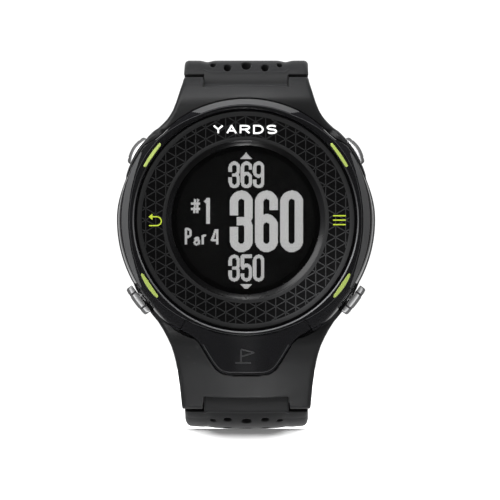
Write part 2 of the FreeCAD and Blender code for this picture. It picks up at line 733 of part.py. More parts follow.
def lug_screw(name, z, level, side):
    """Slotted screw into one end of a lug pin; side is the sign of its X."""
    tag = (name, side)
    head = cylinder("%s_lug_head_%d" % tag, 1.4, 0.8,
                    (side * (LUG_SEAT + 0.05), -level, z), (side, 0, 0))
    shank = cylinder("%s_lug_shank_%d" % tag, 0.46, 2.3,
                     (side * (LUG_SEAT + 0.2), -level, z), (-side, 0, 0))
    slot = block("%s_lug_slot_%d" % tag, (0.4, 2.2, 0.4),
                 (side * 11.1 - 0.2, -level - 1.1, z - 0.2))
    return cut("%s_lug_screw_%d" % tag, fused("%s_lug_screw_body_%d" % tag, [head, shank]), [slot])


def make_lugs():
    part(group("lug_pins", [lug_pin(*pin) for pin in (UPPER_PIN, LOWER_PIN)]))
    part(group("lug_screws", [lug_screw(*pin, side)
                              for pin in (UPPER_PIN, LOWER_PIN) for side in (1, -1)]))


# ---------------------------------------------------------------- strap
# Centre lines as (Z, level).  The strap leaves the pin, turns over the end of the hood and
# runs behind the case.  The upper half ends in a straight run.
UPPER_LINE = [(22.8, 4.6), (25.0, 4.1), (26.4, 2.5), (26.9, -0.7), (27.05, -5.0), (26.75, -11.0),
              (25.9, -18.0), (24.0, -26.0)]
RUN_Z, RUN_LEVEL = UPPER_LINE[-1]
UPPER_LINE += [(RUN_Z - 0.42 * along, RUN_LEVEL - 0.9075 * along)
               for along in (4.0, 8.0, 12.0, 16.0, 20.0, 24.0, 27.0)]
LOWER_LINE = [(-29.8, 1.4), (-32.2, 0.5), (-34.2, -2.0), (-35.4, -5.4), (-35.95, -9.5),
              (-35.7, -15.0), (-34.6, -22.0), (-32.6, -30.0), (-29.6, -39.0), (-25.8, -47.5),
              (-21.2, -55.5), (-15.8, -63.0), (-9.7, -69.8), (-3.2, -75.6)]
BAND_STEPS = 40  # stations along each half
THINNING_LENGTH = 26.0  # from the lug pin to where the strap has its end thickness

STRAP_WIDE, END_WIDE = size("strap_wide"), size("strap_end_wide")
THICK = size("strap_thick")
BUCKLE_PIN = size("buckle_pin_radius")

# vents of one row: X, radius, place along the strap from the row's middle vent
VENTS = ((0.0, 0.9, 0.0), (3.35, 0.7, -0.5), (-3.35, 0.7, -0.5), (5.95, 0.53, 0.15),
         (-5.95, 0.53, 0.15))
VENT_ROWS = 5
VENT_PITCH = 5.4


def interpolated(points):
    curve = Part.BSplineCurve()
    curve.interpolate(points)
    return curve


def curve_length(curve):
    return curve.length(curve.FirstParameter, curve.LastParameter)


def at_length(curve, distance):
    """Point, unit tangent and normal at a distance from the lug pin."""
    parameter = curve.parameterAtDistance(distance, curve.FirstParameter)
    tangent = curve.tangent(parameter)[0]
    tangent.normalize()
    return curve.value(parameter), tangent, X_AXIS.cross(tangent)


def strap_frame(curve, distance):
    """Local X across the strap, local Y along it away from the case, local Z through it."""
    point, tangent, normal = at_length(curve, distance)
    return Placement(point, Rotation(X_AXIS, tangent, normal, "XYZ"))


UPPER_CURVE = interpolated([Vector(0, -level, z) for z, level in UPPER_LINE])
LOWER_CURVE = interpolated([Vector(0, -level, z) for z, level in LOWER_LINE])
UPPER_LENGTH = curve_length(UPPER_CURVE)
BUCKLE_FRAME = strap_frame(UPPER_CURVE, UPPER_LENGTH)
BUCKLE = BUCKLE_FRAME.Base


def framed_box(sizes, frame, corner):
    box = Part.makeBox(*sizes)
    box.Placement = Placement(frame.multVec(Vector(*corner)), frame.Rotation)
    return box


def cross_cylinder(radius, length, centre):
    """Cylinder along X, centred on a point."""
    return Part.makeCylinder(radius, length, centre - Vector(length / 2, 0, 0), X_AXIS)


def strap_band(curve, outward, width):
    """Band round the centre line, centred on X = 0, thinning smoothly away from the case."""
    root = size("strap_root_thick")
    total = curve_length(curve)
    top, bottom = [], []
    for i in range(BAND_STEPS + 1):
        distance = total * i / BAND_STEPS
        point, _, normal = at_length(curve, distance)
        blend = min(1.0, max(0.0, distance / THINNING_LENGTH))
        blend = blend * blend * (3 - 2 * blend)
        half_thick = (root + (THICK - root) * blend) / 2
        top.append(point + normal * outward * half_thick)
        bottom.append(point - normal * outward * half_thick)
    edges = [interpolated(top).toShape(), Part.makeLine(top[-1], bottom[-1]),
             interpolated(bottom).toShape(), Part.makeLine(bottom[0], top[0])]
    face = Part.Face(Part.Wire(Part.__sortEdges__(edges)))
    face.translate(Vector(-width / 2, 0, 0))
    return face.extrude(Vector(width, 0, 0))


def strap_half(curve, pin, outward):
    """Full-width band with a narrow tongue and a knuckle bored for the lug pin."""
    _, z, level = pin
    centre = Vector(0, -level, z)
    shoulder, tongue_wide = size("shoulder_radius"), size("tongue_wide")
    wide = strap_band(curve, outward, STRAP_WIDE)
    wide = wide.cut(cross_cylinder(shoulder, 40, centre))
    tongue = strap_band(curve, outward, tongue_wide).common(
        cross_cylinder(shoulder + 0.5, 40, centre))
    knuckle = cross_cylinder(size("knuckle_radius"), tongue_wide, centre)
    half = wide.fuse([tongue, knuckle]).removeSplitter()
    bore = size("pin_radius") + size("pin_clearance")
    return tapered(half.cut(cross_cylinder(bore, 40, centre)))


def tapered(shape):
    """Narrow a strap half from its width by the case to its end width."""
    taper_from, taper_to = size("taper_from"), size("taper_to")
    clear, end = STRAP_WIDE / 2 + 0.5, END_WIDE / 2
    outline = mirrored([(clear, -30.0), (clear, taper_from - 9.0), (STRAP_WIDE / 2, taper_from),
                        (end, taper_to), (end, 120.0)])  # (X, Y)
    wire = Part.makePolygon([Vector(x, y, -80.0) for x, y in outline + outline[:1]])
    return shape.common(Part.Face(wire).extrude(Vector(0, 0, 160)))


def through_hole(curve, distance, x, radius, slot=0.0):
    """Hole square through the strap; slot is how far it is drawn out along the strap."""
    reach = 8.0
    point, tangent, normal = at_length(curve, distance)
    base = point - normal * reach + Vector(x, 0, 0)
    if slot <= 0:
        return Part.makeCylinder(radius, 2 * reach, base, normal)
    offset = tangent * (slot / 2)
    near = Part.makeCylinder(radius, 2 * reach, base - offset, normal)
    far = Part.makeCylinder(radius, 2 * reach, base + offset, normal)
    middle = Part.makeBox(2 * radius, slot, 2 * reach)
    middle.Placement = Placement(base - Vector(radius, 0, 0) - offset,
                                 Rotation(X_AXIS, tangent, normal, "XYZ"))
    return near.fuse([far, middle])


def vents(curve, first):
    return [through_hole(curve, first + i * VENT_PITCH + shift, x, radius)
            for i in range(VENT_ROWS) for x, radius, shift in VENTS]


def make_strap_upper():
    """12 o'clock half: ends in a knuckle round the buckle pin with a slot for the tang."""
    strap = strap_half(UPPER_CURVE, UPPER_PIN, 1)
    strap = strap.fuse(cross_cylinder(1.9, END_WIDE - 1.0, BUCKLE))
    strap = strap.cut(cross_cylinder(BUCKLE_PIN + 0.02, 40, BUCKLE))
    side_trim = [framed_box((2.0, 6.0, 8.0), BUCKLE_FRAME, (x, -2.6, -4.0))
                 for x in (END_WIDE / 2 - 0.5, -END_WIDE / 2 - 1.5)]
    tang_slot = framed_box((4.0, 7.0, 8.0), BUCKLE_FRAME, (-2.0, -3.2, -4.0))
    strap = strap.cut(side_trim + [tang_slot] + vents(UPPER_CURVE, 4.0))
    part(feature("strap_upper", strap.removeSplitter()))


def make_strap_lower():
    """6 o'clock half: rounded tip, adjusting holes."""
    strap = strap_half(LOWER_CURVE, LOWER_PIN, -1)
    tip = strap_frame(LOWER_CURVE, curve_length(LOWER_CURVE) - END_WIDE / 2)
    keep = Part.makeCylinder(END_WIDE / 2, 40.0)
    keep.Placement = Placement(tip.multVec(Vector(0, 0, -20)), tip.Rotation)
    trim = framed_box((40, 30, 40), tip, (-20, 0, -20))
    strap = strap.cut(trim.cut(keep))
    holes = [through_hole(LOWER_CURVE, 38.0 + i * size("hole_pitch"), 0.0, 1.05, slot=1.1)
             for i in range(8)]
    strap = strap.cut(holes + vents(LOWER_CURVE, 6.4))
    part(feature("strap_lower", strap.removeSplitter()))


# ---------------------------------------------------------------- keepers on the straight run
def make_keeper(name, length, gap, from_buckle):
    """Rounded loop with room for the strap and for the free end lying on it."""
    wall = size("keeper_wall")
    wide, tall = END_WIDE + 2 * gap, 2 * THICK + 0.7
    low = -THICK / 2 - gap
    loop = Part.makeBox(wide + 2 * wall, length, tall + 2 * wall,
                        Vector(-wide / 2 - wall, -length / 2, low - wall))
    long_edges = [e for e in loop.Edges if abs(e.tangentAt(e.FirstParameter).y) > 0.99]
    loop = loop.makeFillet(1.2, long_edges)
    opening = Part.makeBox(wide, length + 2, tall, Vector(-wide / 2, -length / 2 - 1, low))
    place = strap_frame(UPPER_CURVE, UPPER_LENGTH - from_buckle)
    part(feature(name, loop.cut(opening), place))


# ---------------------------------------------------------------- buckle, in the strap-end frame
def make_buckle_frame():
    inner, outer = size("buckle_inner"), size("buckle_outer")
    frame = Part.makeBox(outer, 13.2, 2.6, Vector(-outer / 2, -2.0, -1.3))
    corners = [e for e in frame.Edges if abs(e.tangentAt(e.FirstParameter).z) > 0.99]
    frame = frame.makeFillet(1.9, corners)
    frame = frame.cut(Part.makeBox(inner, 10.9, 6.0, Vector(-inner / 2, -2.4, -3.0)))
    frame = frame.cut(cross_cylinder(BUCKLE_PIN + 0.04, 40, Vector(0, 0, 0)))
    tang_notch = Part.makeCylinder(1.0, 6.0, Vector(0, 7.0, 1.75), Y_AXIS)
    part(feature("buckle_frame", frame.cut(tang_notch), BUCKLE_FRAME))


def make_buckle_pin():
    length = dim("buckle_outer") - 0.6
    part(cylinder("buckle_pin", dim("buckle_pin_radius"), length,
                  BUCKLE - Vector(length.value / 2, 0, 0), (1, 0, 0)))


def make_buckle_tang():
    """Eye round the buckle pin with a sloping arm, rounded at its free end."""
    centre = Vector(0, 0, 0)
    eye = cross_cylinder(1.55, 2.2, centre)
    arm = Part.makeCylinder(0.85, 10.4, Vector(0, 0.6, 0.75), Vector(0, 1, 0.115))
    tip = [e for e in arm.Edges if e.CenterOfMass.y > 10.0 and len(e.Vertexes) == 1]
    arm = arm.makeFillet(0.5, tip)
    tang = eye.fuse(arm).cut(cross_cylinder(BUCKLE_PIN + 0.05, 6, centre))
    part(feature("buckle_tang", tang.removeSplitter(), BUCKLE_FRAME))


# ---------------------------------------------------------------- build and export
make_case()
make_top_ring()
make_antenna_cover()
make_bezel()
make_lens()
make_display()
make_electronics()
make_case_back()
make_buttons()
make_lugs()
make_strap_upper()
make_strap_lower()
make_keeper("free_keeper", length=6.0, gap=0.06, from_buckle=16.5)
make_keeper("fixed_keeper", length=5.0, gap=0.01, from_buckle=6.6)
make_buckle_frame()
make_buckle_pin()
make_buckle_tang()
doc.recompute()

bad = [o.Name for o in doc.Objects if "Invalid" in o.State or "Error" in o.State]
if bad:
    raise RuntimeError("objects not built: " + ", ".join(bad))
os.makedirs("parts", exist_ok=True)
for obj in finished:
    if obj.Shape.isNull() or not obj.Shape.isValid():
        raise RuntimeError("shape of %s is not valid" % obj.Label)
    obj.Shape.exportStep("parts/%s.step" % obj.Label)
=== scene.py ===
import json
import math
from functools import partial
from types import SimpleNamespace

import bpy
import numpy as np
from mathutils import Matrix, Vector

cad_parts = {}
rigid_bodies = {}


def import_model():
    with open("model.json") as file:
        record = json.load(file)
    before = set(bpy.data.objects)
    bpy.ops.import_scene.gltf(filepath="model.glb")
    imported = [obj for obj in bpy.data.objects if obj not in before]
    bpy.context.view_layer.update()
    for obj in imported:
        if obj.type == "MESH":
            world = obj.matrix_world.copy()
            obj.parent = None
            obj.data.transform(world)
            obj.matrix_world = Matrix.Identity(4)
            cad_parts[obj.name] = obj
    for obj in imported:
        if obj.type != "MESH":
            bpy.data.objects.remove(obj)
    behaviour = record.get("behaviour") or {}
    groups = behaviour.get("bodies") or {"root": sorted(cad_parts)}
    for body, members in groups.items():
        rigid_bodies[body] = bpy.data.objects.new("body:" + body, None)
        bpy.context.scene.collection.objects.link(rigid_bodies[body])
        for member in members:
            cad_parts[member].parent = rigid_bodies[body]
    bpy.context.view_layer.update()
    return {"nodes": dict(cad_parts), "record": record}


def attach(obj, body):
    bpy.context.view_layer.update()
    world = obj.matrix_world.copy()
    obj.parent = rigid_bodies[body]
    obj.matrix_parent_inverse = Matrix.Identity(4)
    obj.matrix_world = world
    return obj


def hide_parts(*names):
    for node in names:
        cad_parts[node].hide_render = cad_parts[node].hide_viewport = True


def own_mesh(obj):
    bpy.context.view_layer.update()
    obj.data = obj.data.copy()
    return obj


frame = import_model()
MM = 0.001
TAU = 2 * math.pi
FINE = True


# ------------------------------------------------------------------ shader nodes
def set_inputs(tree, node, values):
    """Sets inputs by name or number: a node or socket is linked, anything else is a value."""
    for key, value in values.items():
        if isinstance(value, bpy.types.Node):
            value = value.outputs[0]
        if isinstance(value, bpy.types.NodeSocket):
            tree.links.new(value, node.inputs[key])
        else:
            node.inputs[key].default_value = value


def add_node(tree, kind, values=None, **settings):
    node = tree.nodes.new("ShaderNode" + kind)
    for key, value in settings.items():
        setattr(node, key, value)
    set_inputs(tree, node, values or {})
    return node


def name_seed(name):
    """Number from a name, so that each material has its grain in another place."""
    return sum((i + 7) * ord(c) for i, c in enumerate(name)) % 97


def color_ramp(node, factor, stops):
    """Ramp through (position, rgb) stops."""
    ramp = node("ValToRGB", {"Fac": factor})
    elements = ramp.color_ramp.elements
    while len(elements) < len(stops):
        elements.new(0.5)
    for element, (position, rgb) in zip(elements, stops):
        element.position = position
        element.color = (*rgb, 1)
    return ramp


def toned(node, tone, factor, stops):
    """Multiplies a colour by a grey ramp of (position, value) stops."""
    grey = color_ramp(node, factor, [(at, (value,) * 3) for at, value in stops])
    mix = node("Mix", {"Factor": 1.0, "A": tone, "B": grey},
               data_type="RGBA", blend_type="MULTIPLY")
    return mix.outputs["Result"]


MAT = {}


def surface(name, color, rough, metal=0.0, spec=0.5, bump=0.1, grain=6000.0, vary=0.12,
            rough_vary=0.08, coat=0.0, wear=0.0, wear_color=None, emit=0.0, stretch=(1, 1, 1),
            sheen=0.0, scratches=0.0, painted_light_round_dial=None, painted_reflection_by_turn=None):
    """Principled surface with grain, varied colour and roughness, edge wear and scratches.

    painted_light_round_dial: painted light and shade, (degrees from 3 o'clock, tone) stops round
    the dial.
    facing: painted reflection, (turn away from the viewer, tone) stops.
    """
    material = bpy.data.materials.new(name)
    material.use_nodes = True
    tree = material.node_tree
    shader = tree.nodes["Principled BSDF"]
    node = partial(add_node, tree)

    place = node("TexCoord").outputs["Object"]
    seed = name_seed(name)
    shifted = node("Mapping", {"Vector": place, "Scale": stretch,
                               "Location": (seed * 0.013, seed * 0.007, 0.0)})
    clouds = node("TexNoise", {"Vector": place, "Scale": 90.0, "Detail": 4.0})
    specks = node("TexNoise", {"Vector": shifted, "Scale": grain, "Detail": 3.0})

    # colour: darker and lighter with the slow noise and the grain
    slow = node("Math", {0: clouds, 1: 0.55}, operation="MULTIPLY")
    mottle = node("Math", {0: specks, 1: 0.45, 2: slow}, operation="MULTIPLY_ADD")
    darker = [max(0.0, c * (1 - vary)) for c in color]
    lighter = [min(1.0, c * (1 + vary)) for c in color]
    tone = color_ramp(node, mottle, [(0.3, darker), (0.7, lighter)]).outputs["Color"]
    if wear > 0:
        pointed = node("NewGeometry").outputs["Pointiness"]
        edges = node("MapRange", {"Value": pointed, "From Min": 0.51, "From Max": 0.60,
                                  "To Max": wear})
        patchy = node("Math", {0: edges, 1: clouds}, operation="MULTIPLY")
        worn = node("Mix", {"Factor": patchy, "A": tone, "B": (*wear_color, 1)}, data_type="RGBA")
        tone = worn.outputs["Result"]
    # painted reflection: the tone changes with the turn away from the viewer
    if painted_reflection_by_turn is not None:
        weight = node("LayerWeight", {"Blend": 0.5})
        tone = toned(node, tone, weight.outputs["Facing"], painted_reflection_by_turn)
    # painted light and shade: the tone changes with the angle round the dial axis
    if painted_light_round_dial is not None:
        axes = node("SeparateXYZ", {0: place})
        angle = node("Math", {0: axes.outputs["Z"], 1: axes.outputs["X"]}, operation="ARCTAN2")
        turns = node("Math", {0: angle, 1: TAU}, operation="DIVIDE")
        share = node("Math", {0: turns}, operation="FRACT")
        tone = toned(node, tone, share, [(deg / 360.0, value) for deg, value in painted_light_round_dial])

    roughness = node("MapRange", {
        "Value": clouds, "From Min": 0.3, "From Max": 0.7,
        "To Min": max(0.02, rough - rough_vary), "To Max": min(1.0, rough + rough_vary)})
    normal = node("Bump", {"Strength": bump, "Distance": 0.00003, "Height": specks})
    if scratches > 0:
        drawn_out = node("Mapping", {"Vector": place, "Scale": (60.0, 900.0, 4000.0),
                                     "Rotation": (0.2, 0.4, 0.7)})
        streaks = node("TexNoise", {"Vector": drawn_out, "Scale": 1.0, "Detail": 2.0})
        normal = node("Bump", {"Strength": scratches, "Distance": 0.00001, "Height": streaks,
                               "Normal": normal})
    set_inputs(tree, shader, {
        "Base Color": tone, "Roughness": roughness, "Normal": normal, "Metallic": metal,
        "Specular IOR Level": spec, "Coat Weight": coat, "Coat Roughness": 0.05,
        "Sheen Weight": sheen})
    if emit > 0:
        set_inputs(tree, shader, {"Emission Color": tone, "Emission Strength": emit})
    MAT[name] = material


def glass(name, reflect, tint=0.93):
    """Thin clear glass: light passes straight through; faint smears vary the reflection."""
    material = bpy.data.materials.new(name)
    material.use_nodes = True
    tree = material.node_tree
    tree.nodes.clear()
    node = partial(add_node, tree)
    place = node("TexCoord").outputs["Object"]
    smears = node("TexNoise", {"Vector": place, "Scale": 160.0, "Detail": 5.0})
    roughness = node("MapRange", {"Value": smears, "From Min": 0.35, "From Max": 0.75,
                                  "To Min": 0.02, "To Max": 0.05})
    clear = node("BsdfTransparent", {"Color": (tint, tint, tint, 1)})
    glossy = node("BsdfGlossy", {"Roughness": roughness})
    fresnel = node("Fresnel", {"IOR": 1.45})
    amount = node("Math", {0: fresnel, 1: reflect}, operation="MULTIPLY")
    mix = node("MixShader", {"Fac": amount, 1: clear, 2: glossy})
    node("OutputMaterial", {"Surface": mix})
    MAT[name] = material


# ------------------------------------------------------------------ materials
# painted light round the dial, tones as (degrees from 3 o'clock, tone)
# a painted broad reflection over the lower right of the dial
BEZEL_PAINTED_REFLECTION = [(0, 0.55), (30, 0.36), (90, 0.32), (180, 0.32), (250, 0.34), (280, 0.45), (300, 0.85),
        (315, 1.0), (330, 0.9), (360, 0.55)]
# painted highlights on the inner bevel round the display, brightest at 3 and 9 o'clock
BEVEL_PAINTED_HIGHLIGHT = [(0, 1.0), (20, 0.7), (45, 0.2), (90, 0.2), (135, 0.2), (160, 0.5), (180, 1.0),
               (200, 0.4), (225, 0.15), (255, 0.2), (275, 0.5), (315, 0.7), (360, 1.0)]
# painted light on the satin facets, brighter on the left where the key light falls
FACET_PAINTED_LIGHT = [(0, 0.4), (60, 0.34), (90, 0.34), (120, 0.34), (160, 0.55), (180, 0.58),
               (205, 0.6), (215, 0.5), (325, 0.4), (360, 0.4)]
# painted highlight on the ring's inner lip, strong in the lower half, near black at the top
RIM_PAINTED_HIGHLIGHT = [(0, 0.5), (20, 0.16), (45, 0.02), (90, 0.02), (135, 0.02), (160, 0.1), (180, 0.42),
             (200, 0.62), (225, 0.44), (250, 0.55), (270, 0.66), (290, 0.60), (315, 0.9),
             (340, 1.0), (360, 0.45)]
# painted reflections on polished steel, (turn away from the viewer, tone): dark face on, brighter
# once turned, dark rim
CAP_PAINTED_REFLECTION = [(0, 0.05), (0.012, 0.06), (0.03, 0.6), (0.13, 0.7), (0.2, 0.08), (1, 0.02)]
BAR_PAINTED_REFLECTION = [(0, 0.14), (0.04, 0.26), (0.12, 0.5), (0.2, 0.08), (1, 0.02)]

surface("case_matte", color=(0.0078, 0.0079, 0.0083), rough=0.44, spec=0.4, bump=0.45,
        grain=9000, wear=0.15, wear_color=(0.07, 0.07, 0.075))
surface("case_gloss", color=(0.0025, 0.0025, 0.0029), rough=0.12, bump=0.03, grain=2500,
        rough_vary=0.03, scratches=0.05, coat=0.4)
# satin facets; their tone round the dial is painted light
surface("facet", color=(0.083, 0.0835, 0.0855), rough=0.40, painted_light_round_dial=FACET_PAINTED_LIGHT, bump=0.12,
        grain=7000, rough_vary=0.05, scratches=0.1)
# lighter grey on the ring's inner lip: a painted highlight line, further shaded round the dial
surface("rim", color=(0.125, 0.126, 0.129), rough=0.25, spec=0.3, bump=0.04, scratches=0.06,
        painted_light_round_dial=RIM_PAINTED_HIGHLIGHT)
# lighter grey: a painted highlight on the ring's crease and on the line inside the tip of the
# tongue; the flag mark uses it too
surface("crease", color=(0.017, 0.0172, 0.018), rough=0.3, spec=0.3, bump=0.04, scratches=0.06)
# bezel, raised borders and lattice share a painted broad reflection, brightest lower right
surface("bezel_matte", color=(0.0036, 0.0036, 0.0038), rough=0.7, spec=0.06, painted_light_round_dial=BEZEL_PAINTED_REFLECTION,
        bump=0.25, grain=9000)
surface("bezel_border", color=(0.0255, 0.0257, 0.0266), rough=0.6, spec=0.2, painted_light_round_dial=BEZEL_PAINTED_REFLECTION,
        bump=0.3, grain=8000, scratches=0.1)
surface("lattice", color=(0.0290, 0.0293, 0.0302), rough=0.6, spec=0.15, painted_light_round_dial=BEZEL_PAINTED_REFLECTION, bump=0.2,
        grain=8000)
# inner bevel; its tone round the dial is a painted highlight
surface("bevel", color=(0.004, 0.004, 0.0045), rough=0.27, spec=0.45, bump=0.02, grain=5000,
        painted_light_round_dial=BEVEL_PAINTED_HIGHLIGHT)
surface("lime", color=(0.215, 0.272, 0.06), rough=0.42, spec=0.3, grain=4000, vary=0.06, coat=0.1)
# the prints glow faintly: painted light
surface("print_lime", color=(0.27, 0.335, 0.022), rough=0.5, spec=0.2, bump=0.15, vary=0.06,
        emit=0.12)
surface("print_white", color=(0.78, 0.78, 0.78), rough=0.5, spec=0.2, bump=0.15, vary=0.05,
        emit=0.1)
surface("pixel_off", color=(0.004, 0.004, 0.004), rough=0.5, spec=0.08, bump=0.05, grain=7000,
        vary=0.06)
surface("pixel_on", color=(0.43, 0.43, 0.427), rough=0.55, spec=0.1, bump=0.05, grain=7000,
        vary=0.03, emit=0.46)
surface("black_mask", color=(0.0008, 0.0008, 0.0009), rough=0.3, spec=0.1, bump=0.02, grain=3000)
# steel of caps, bars and springs, with painted reflections set by the turn away from the viewer
for name, light in (("steel", CAP_PAINTED_REFLECTION), ("steel_bar", BAR_PAINTED_REFLECTION)):
    surface(name, color=(0.92, 0.922, 0.93), rough=0.24, metal=0.2, spec=0.2, bump=0.06,
            grain=900, stretch=(1, 1, 14), vary=0.05, scratches=0.1, painted_reflection_by_turn=light)
# darker steel in the cap grooves: painted shade
surface("steel_dark", color=(0.05, 0.05, 0.052), rough=0.3, metal=0.5, bump=0.06, grain=900,
        vary=0.05, scratches=0.1)
surface("dark_steel", color=(0.085, 0.086, 0.09), rough=0.33, metal=1.0, bump=0.25, grain=1400,
        stretch=(1, 14, 14), scratches=0.3, wear=0.6, wear_color=(0.4, 0.4, 0.4))
surface("screw", color=(0.42, 0.42, 0.43), rough=0.3, metal=1.0, bump=0.2, grain=2500, vary=0.1,
        scratches=0.4, wear=0.3, wear_color=(0.7, 0.7, 0.7))
surface("spring", color=(0.5, 0.5, 0.51), rough=0.26, metal=1.0, grain=3000, vary=0.08)
surface("gold", color=(0.86, 0.62, 0.24), rough=0.24, metal=1.0, grain=3000, vary=0.06,
        scratches=0.4)
surface("brass", color=(0.70, 0.52, 0.22), rough=0.34, metal=1.0, bump=0.15, grain=2600, vary=0.1)
surface("strap", color=(0.0050, 0.0051, 0.0055), rough=0.56, spec=0.4, bump=0.5, grain=7500,
        vary=0.16, rough_vary=0.06, sheen=0.05)
surface("back", color=(0.018, 0.018, 0.020), rough=0.45, bump=0.6, grain=6500, vary=0.15,
        scratches=0.2)
surface("inner", color=(0.03, 0.03, 0.031), rough=0.6, bump=0.4, grain=5000)
surface("rubber", color=(0.012, 0.012, 0.013), rough=0.7, bump=0.4)
surface("board", color=(0.006, 0.055, 0.022), rough=0.35, bump=0.3, grain=2500, vary=0.4,
        coat=0.3)
surface("chip", color=(0.014, 0.014, 0.015), rough=0.55, bump=0.3)
surface("shield", color=(0.62, 0.62, 0.63), rough=0.3, metal=1.0, bump=0.12, grain=2000,
        scratches=0.3)
surface("flex", color=(0.42, 0.18, 0.02), rough=0.3, grain=3000, vary=0.2, coat=0.4)
surface("ceramic", color=(0.62, 0.58, 0.5), rough=0.45, bump=0.3, grain=3500, vary=0.08)
surface("foil", color=(0.5, 0.5, 0.52), rough=0.38, metal=1.0, bump=0.8, grain=700, vary=0.06,
        scratches=0.2)
surface("diffuser", color=(0.75, 0.75, 0.72), rough=0.5, grain=4000, vary=0.03)
glass("lens", reflect=0.3)
glass("film", reflect=0.1, tint=0.97)

# finishes of the CAD pieces whose material slot has another name than the material
SLOT_FINISH = {
    "lime_accent": "lime", "lens_glass": "lens", "film_glass": "film", "display": "pixel_off",
    "light_guide": "diffuser", "inner_plastic": "inner", "chip_plastic": "chip",
    "shield_metal": "shield", "screw_steel": "screw", "spring_steel": "spring",
    "motor_steel": "shield", "patch_ceramic": "ceramic", "battery_foil": "foil",
    "seal_rubber": "rubber", "back_plastic": "back", "contact_gold": "gold",
    "button_steel": "steel", "strap_rubber": "strap", "buckle_steel": "dark_steel",
}
node_slots = {part["node"]: part["material_slot"] for part in frame["record"]["subparts"]}
for name, piece in frame["nodes"].items():
    slot_name = node_slots[name]
    finish = MAT[SLOT_FINISH.get(slot_name, slot_name)]
    if not piece.material_slots:
        piece.data.materials.append(finish)
    for slot in piece.material_slots:
        slot.material = finish


# ------------------------------------------------------------------ mesh helpers
def add_mesh(name, verts, faces, finishes, face_finish=None, smooth=True, body="case",
             normals=None, replaces=None, slot=None, sharp=None):
    """Object from millimetre vertices; sharp is the angle in degrees above which edges show."""
    mesh = bpy.data.meshes.new(name)
    points = np.asarray(verts, dtype=np.float64) * MM
    mesh.from_pydata([tuple(p) for p in points], [], [tuple(int(i) for i in f) for f in faces])
    for finish in finishes:
        mesh.materials.append(MAT[finish])
    if face_finish is not None:
        mesh.polygons.foreach_set("material_index", np.asarray(face_finish, dtype=np.int32))
    mesh.polygons.foreach_set("use_smooth", np.full(len(mesh.polygons), smooth))
    mesh.validate()
    mesh.update()
    thing = bpy.data.objects.new(name, mesh)
    bpy.context.scene.collection.objects.link(thing)
    if normals is not None:
        mesh.normals_split_custom_set_from_vertices([tuple(n) for n in normals])
    elif sharp is not None:
        with bpy.context.temp_override(active_object=thing, selected_objects=[thing],
                                       object=thing, selected_editable_objects=[thing]):
            bpy.ops.object.shade_smooth_by_angle(angle=math.radians(sharp))
    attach(thing, body)
    if replaces:
        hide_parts(replaces)
    return thing


def outline_distance(x, z, outline):
    """Signed distance to a closed polygon, negative inside."""
    outline = np.asarray(outline, dtype=np.float32)
    x, z = np.broadcast_arrays(np.asarray(x, np.float32), np.asarray(z, np.float32))
    nearest = np.full(x.shape, 1e9, np.float32)
    sign = np.ones(x.shape, np.float32)
    for i in range(len(outline)):
        start_x, start_z = outline[i]
        end_x, end_z = outline[i - 1]
        edge_x, edge_z = end_x - start_x, end_z - start_z
        from_x, from_z = x - start_x, z - start_z
        share = (from_x * edge_x + from_z * edge_z) / (edge_x * edge_x + edge_z * edge_z)
        share = np.clip(share, 0, 1)
        off_x, off_z = from_x - edge_x * share, from_z - edge_z * share
        nearest = np.minimum(nearest, off_x * off_x + off_z * off_z)
        above = z >= start_z
        below = z < end_z
        beside = edge_x * from_z > edge_z * from_x
        crosses = (above & below & beside) | (~above & ~below & ~beside)
        sign = np.where(crosses, -sign, sign)
    return sign * np.sqrt(nearest)


def chaikin(points, rounds=2, closed=True):
    """Softens a polyline by cutting its corners."""
    points = [tuple(p) for p in points]
    for _ in range(rounds):
        softer = []
        count = len(points)
        for i in range(count if closed else count - 1):
            a, b = points[i], points[(i + 1) % count]
            softer.append((a[0] * 0.75 + b[0] * 0.25, a[1] * 0.75 + b[1] * 0.25))
            softer.append((a[0] * 0.25 + b[0] * 0.75, a[1] * 0.25 + b[1] * 0.75))
        points = softer
    return points


def mirrored(half):
    """Half outline of (x, z) followed by its mirror image across x = 0."""
    return half + [(-x, z) for x, z in reversed(half)]


def meet(a, b, radius):
    """Intersection of two distance fields with a rounded edge."""
    rounding = np.sqrt(np.maximum(a + radius, 0) ** 2 + np.maximum(b + radius, 0) ** 2)
    return np.minimum(-radius, np.maximum(a, b)) + rounding


def join(a, b, radius):
    """Union with a filleted joint."""
    return -meet(-a, -b, radius)


def cut(a, b, radius):
    """a without b, with a rounded edge."""
    return meet(a, -b, radius)


def slab(value, low, high):
    return np.maximum(low - value, value - high)


def smoothstep(t):
    return t * t * (3 - 2 * t)


def gradient(field, points, step):
    slope = np.zeros_like(points)
    for axis in range(3):
        shift = np.zeros(3)
        shift[axis] = step
        slope[:, axis] = (field(*(points + shift).T) - field(*(points - shift).T)) / (2 * step)
    return slope


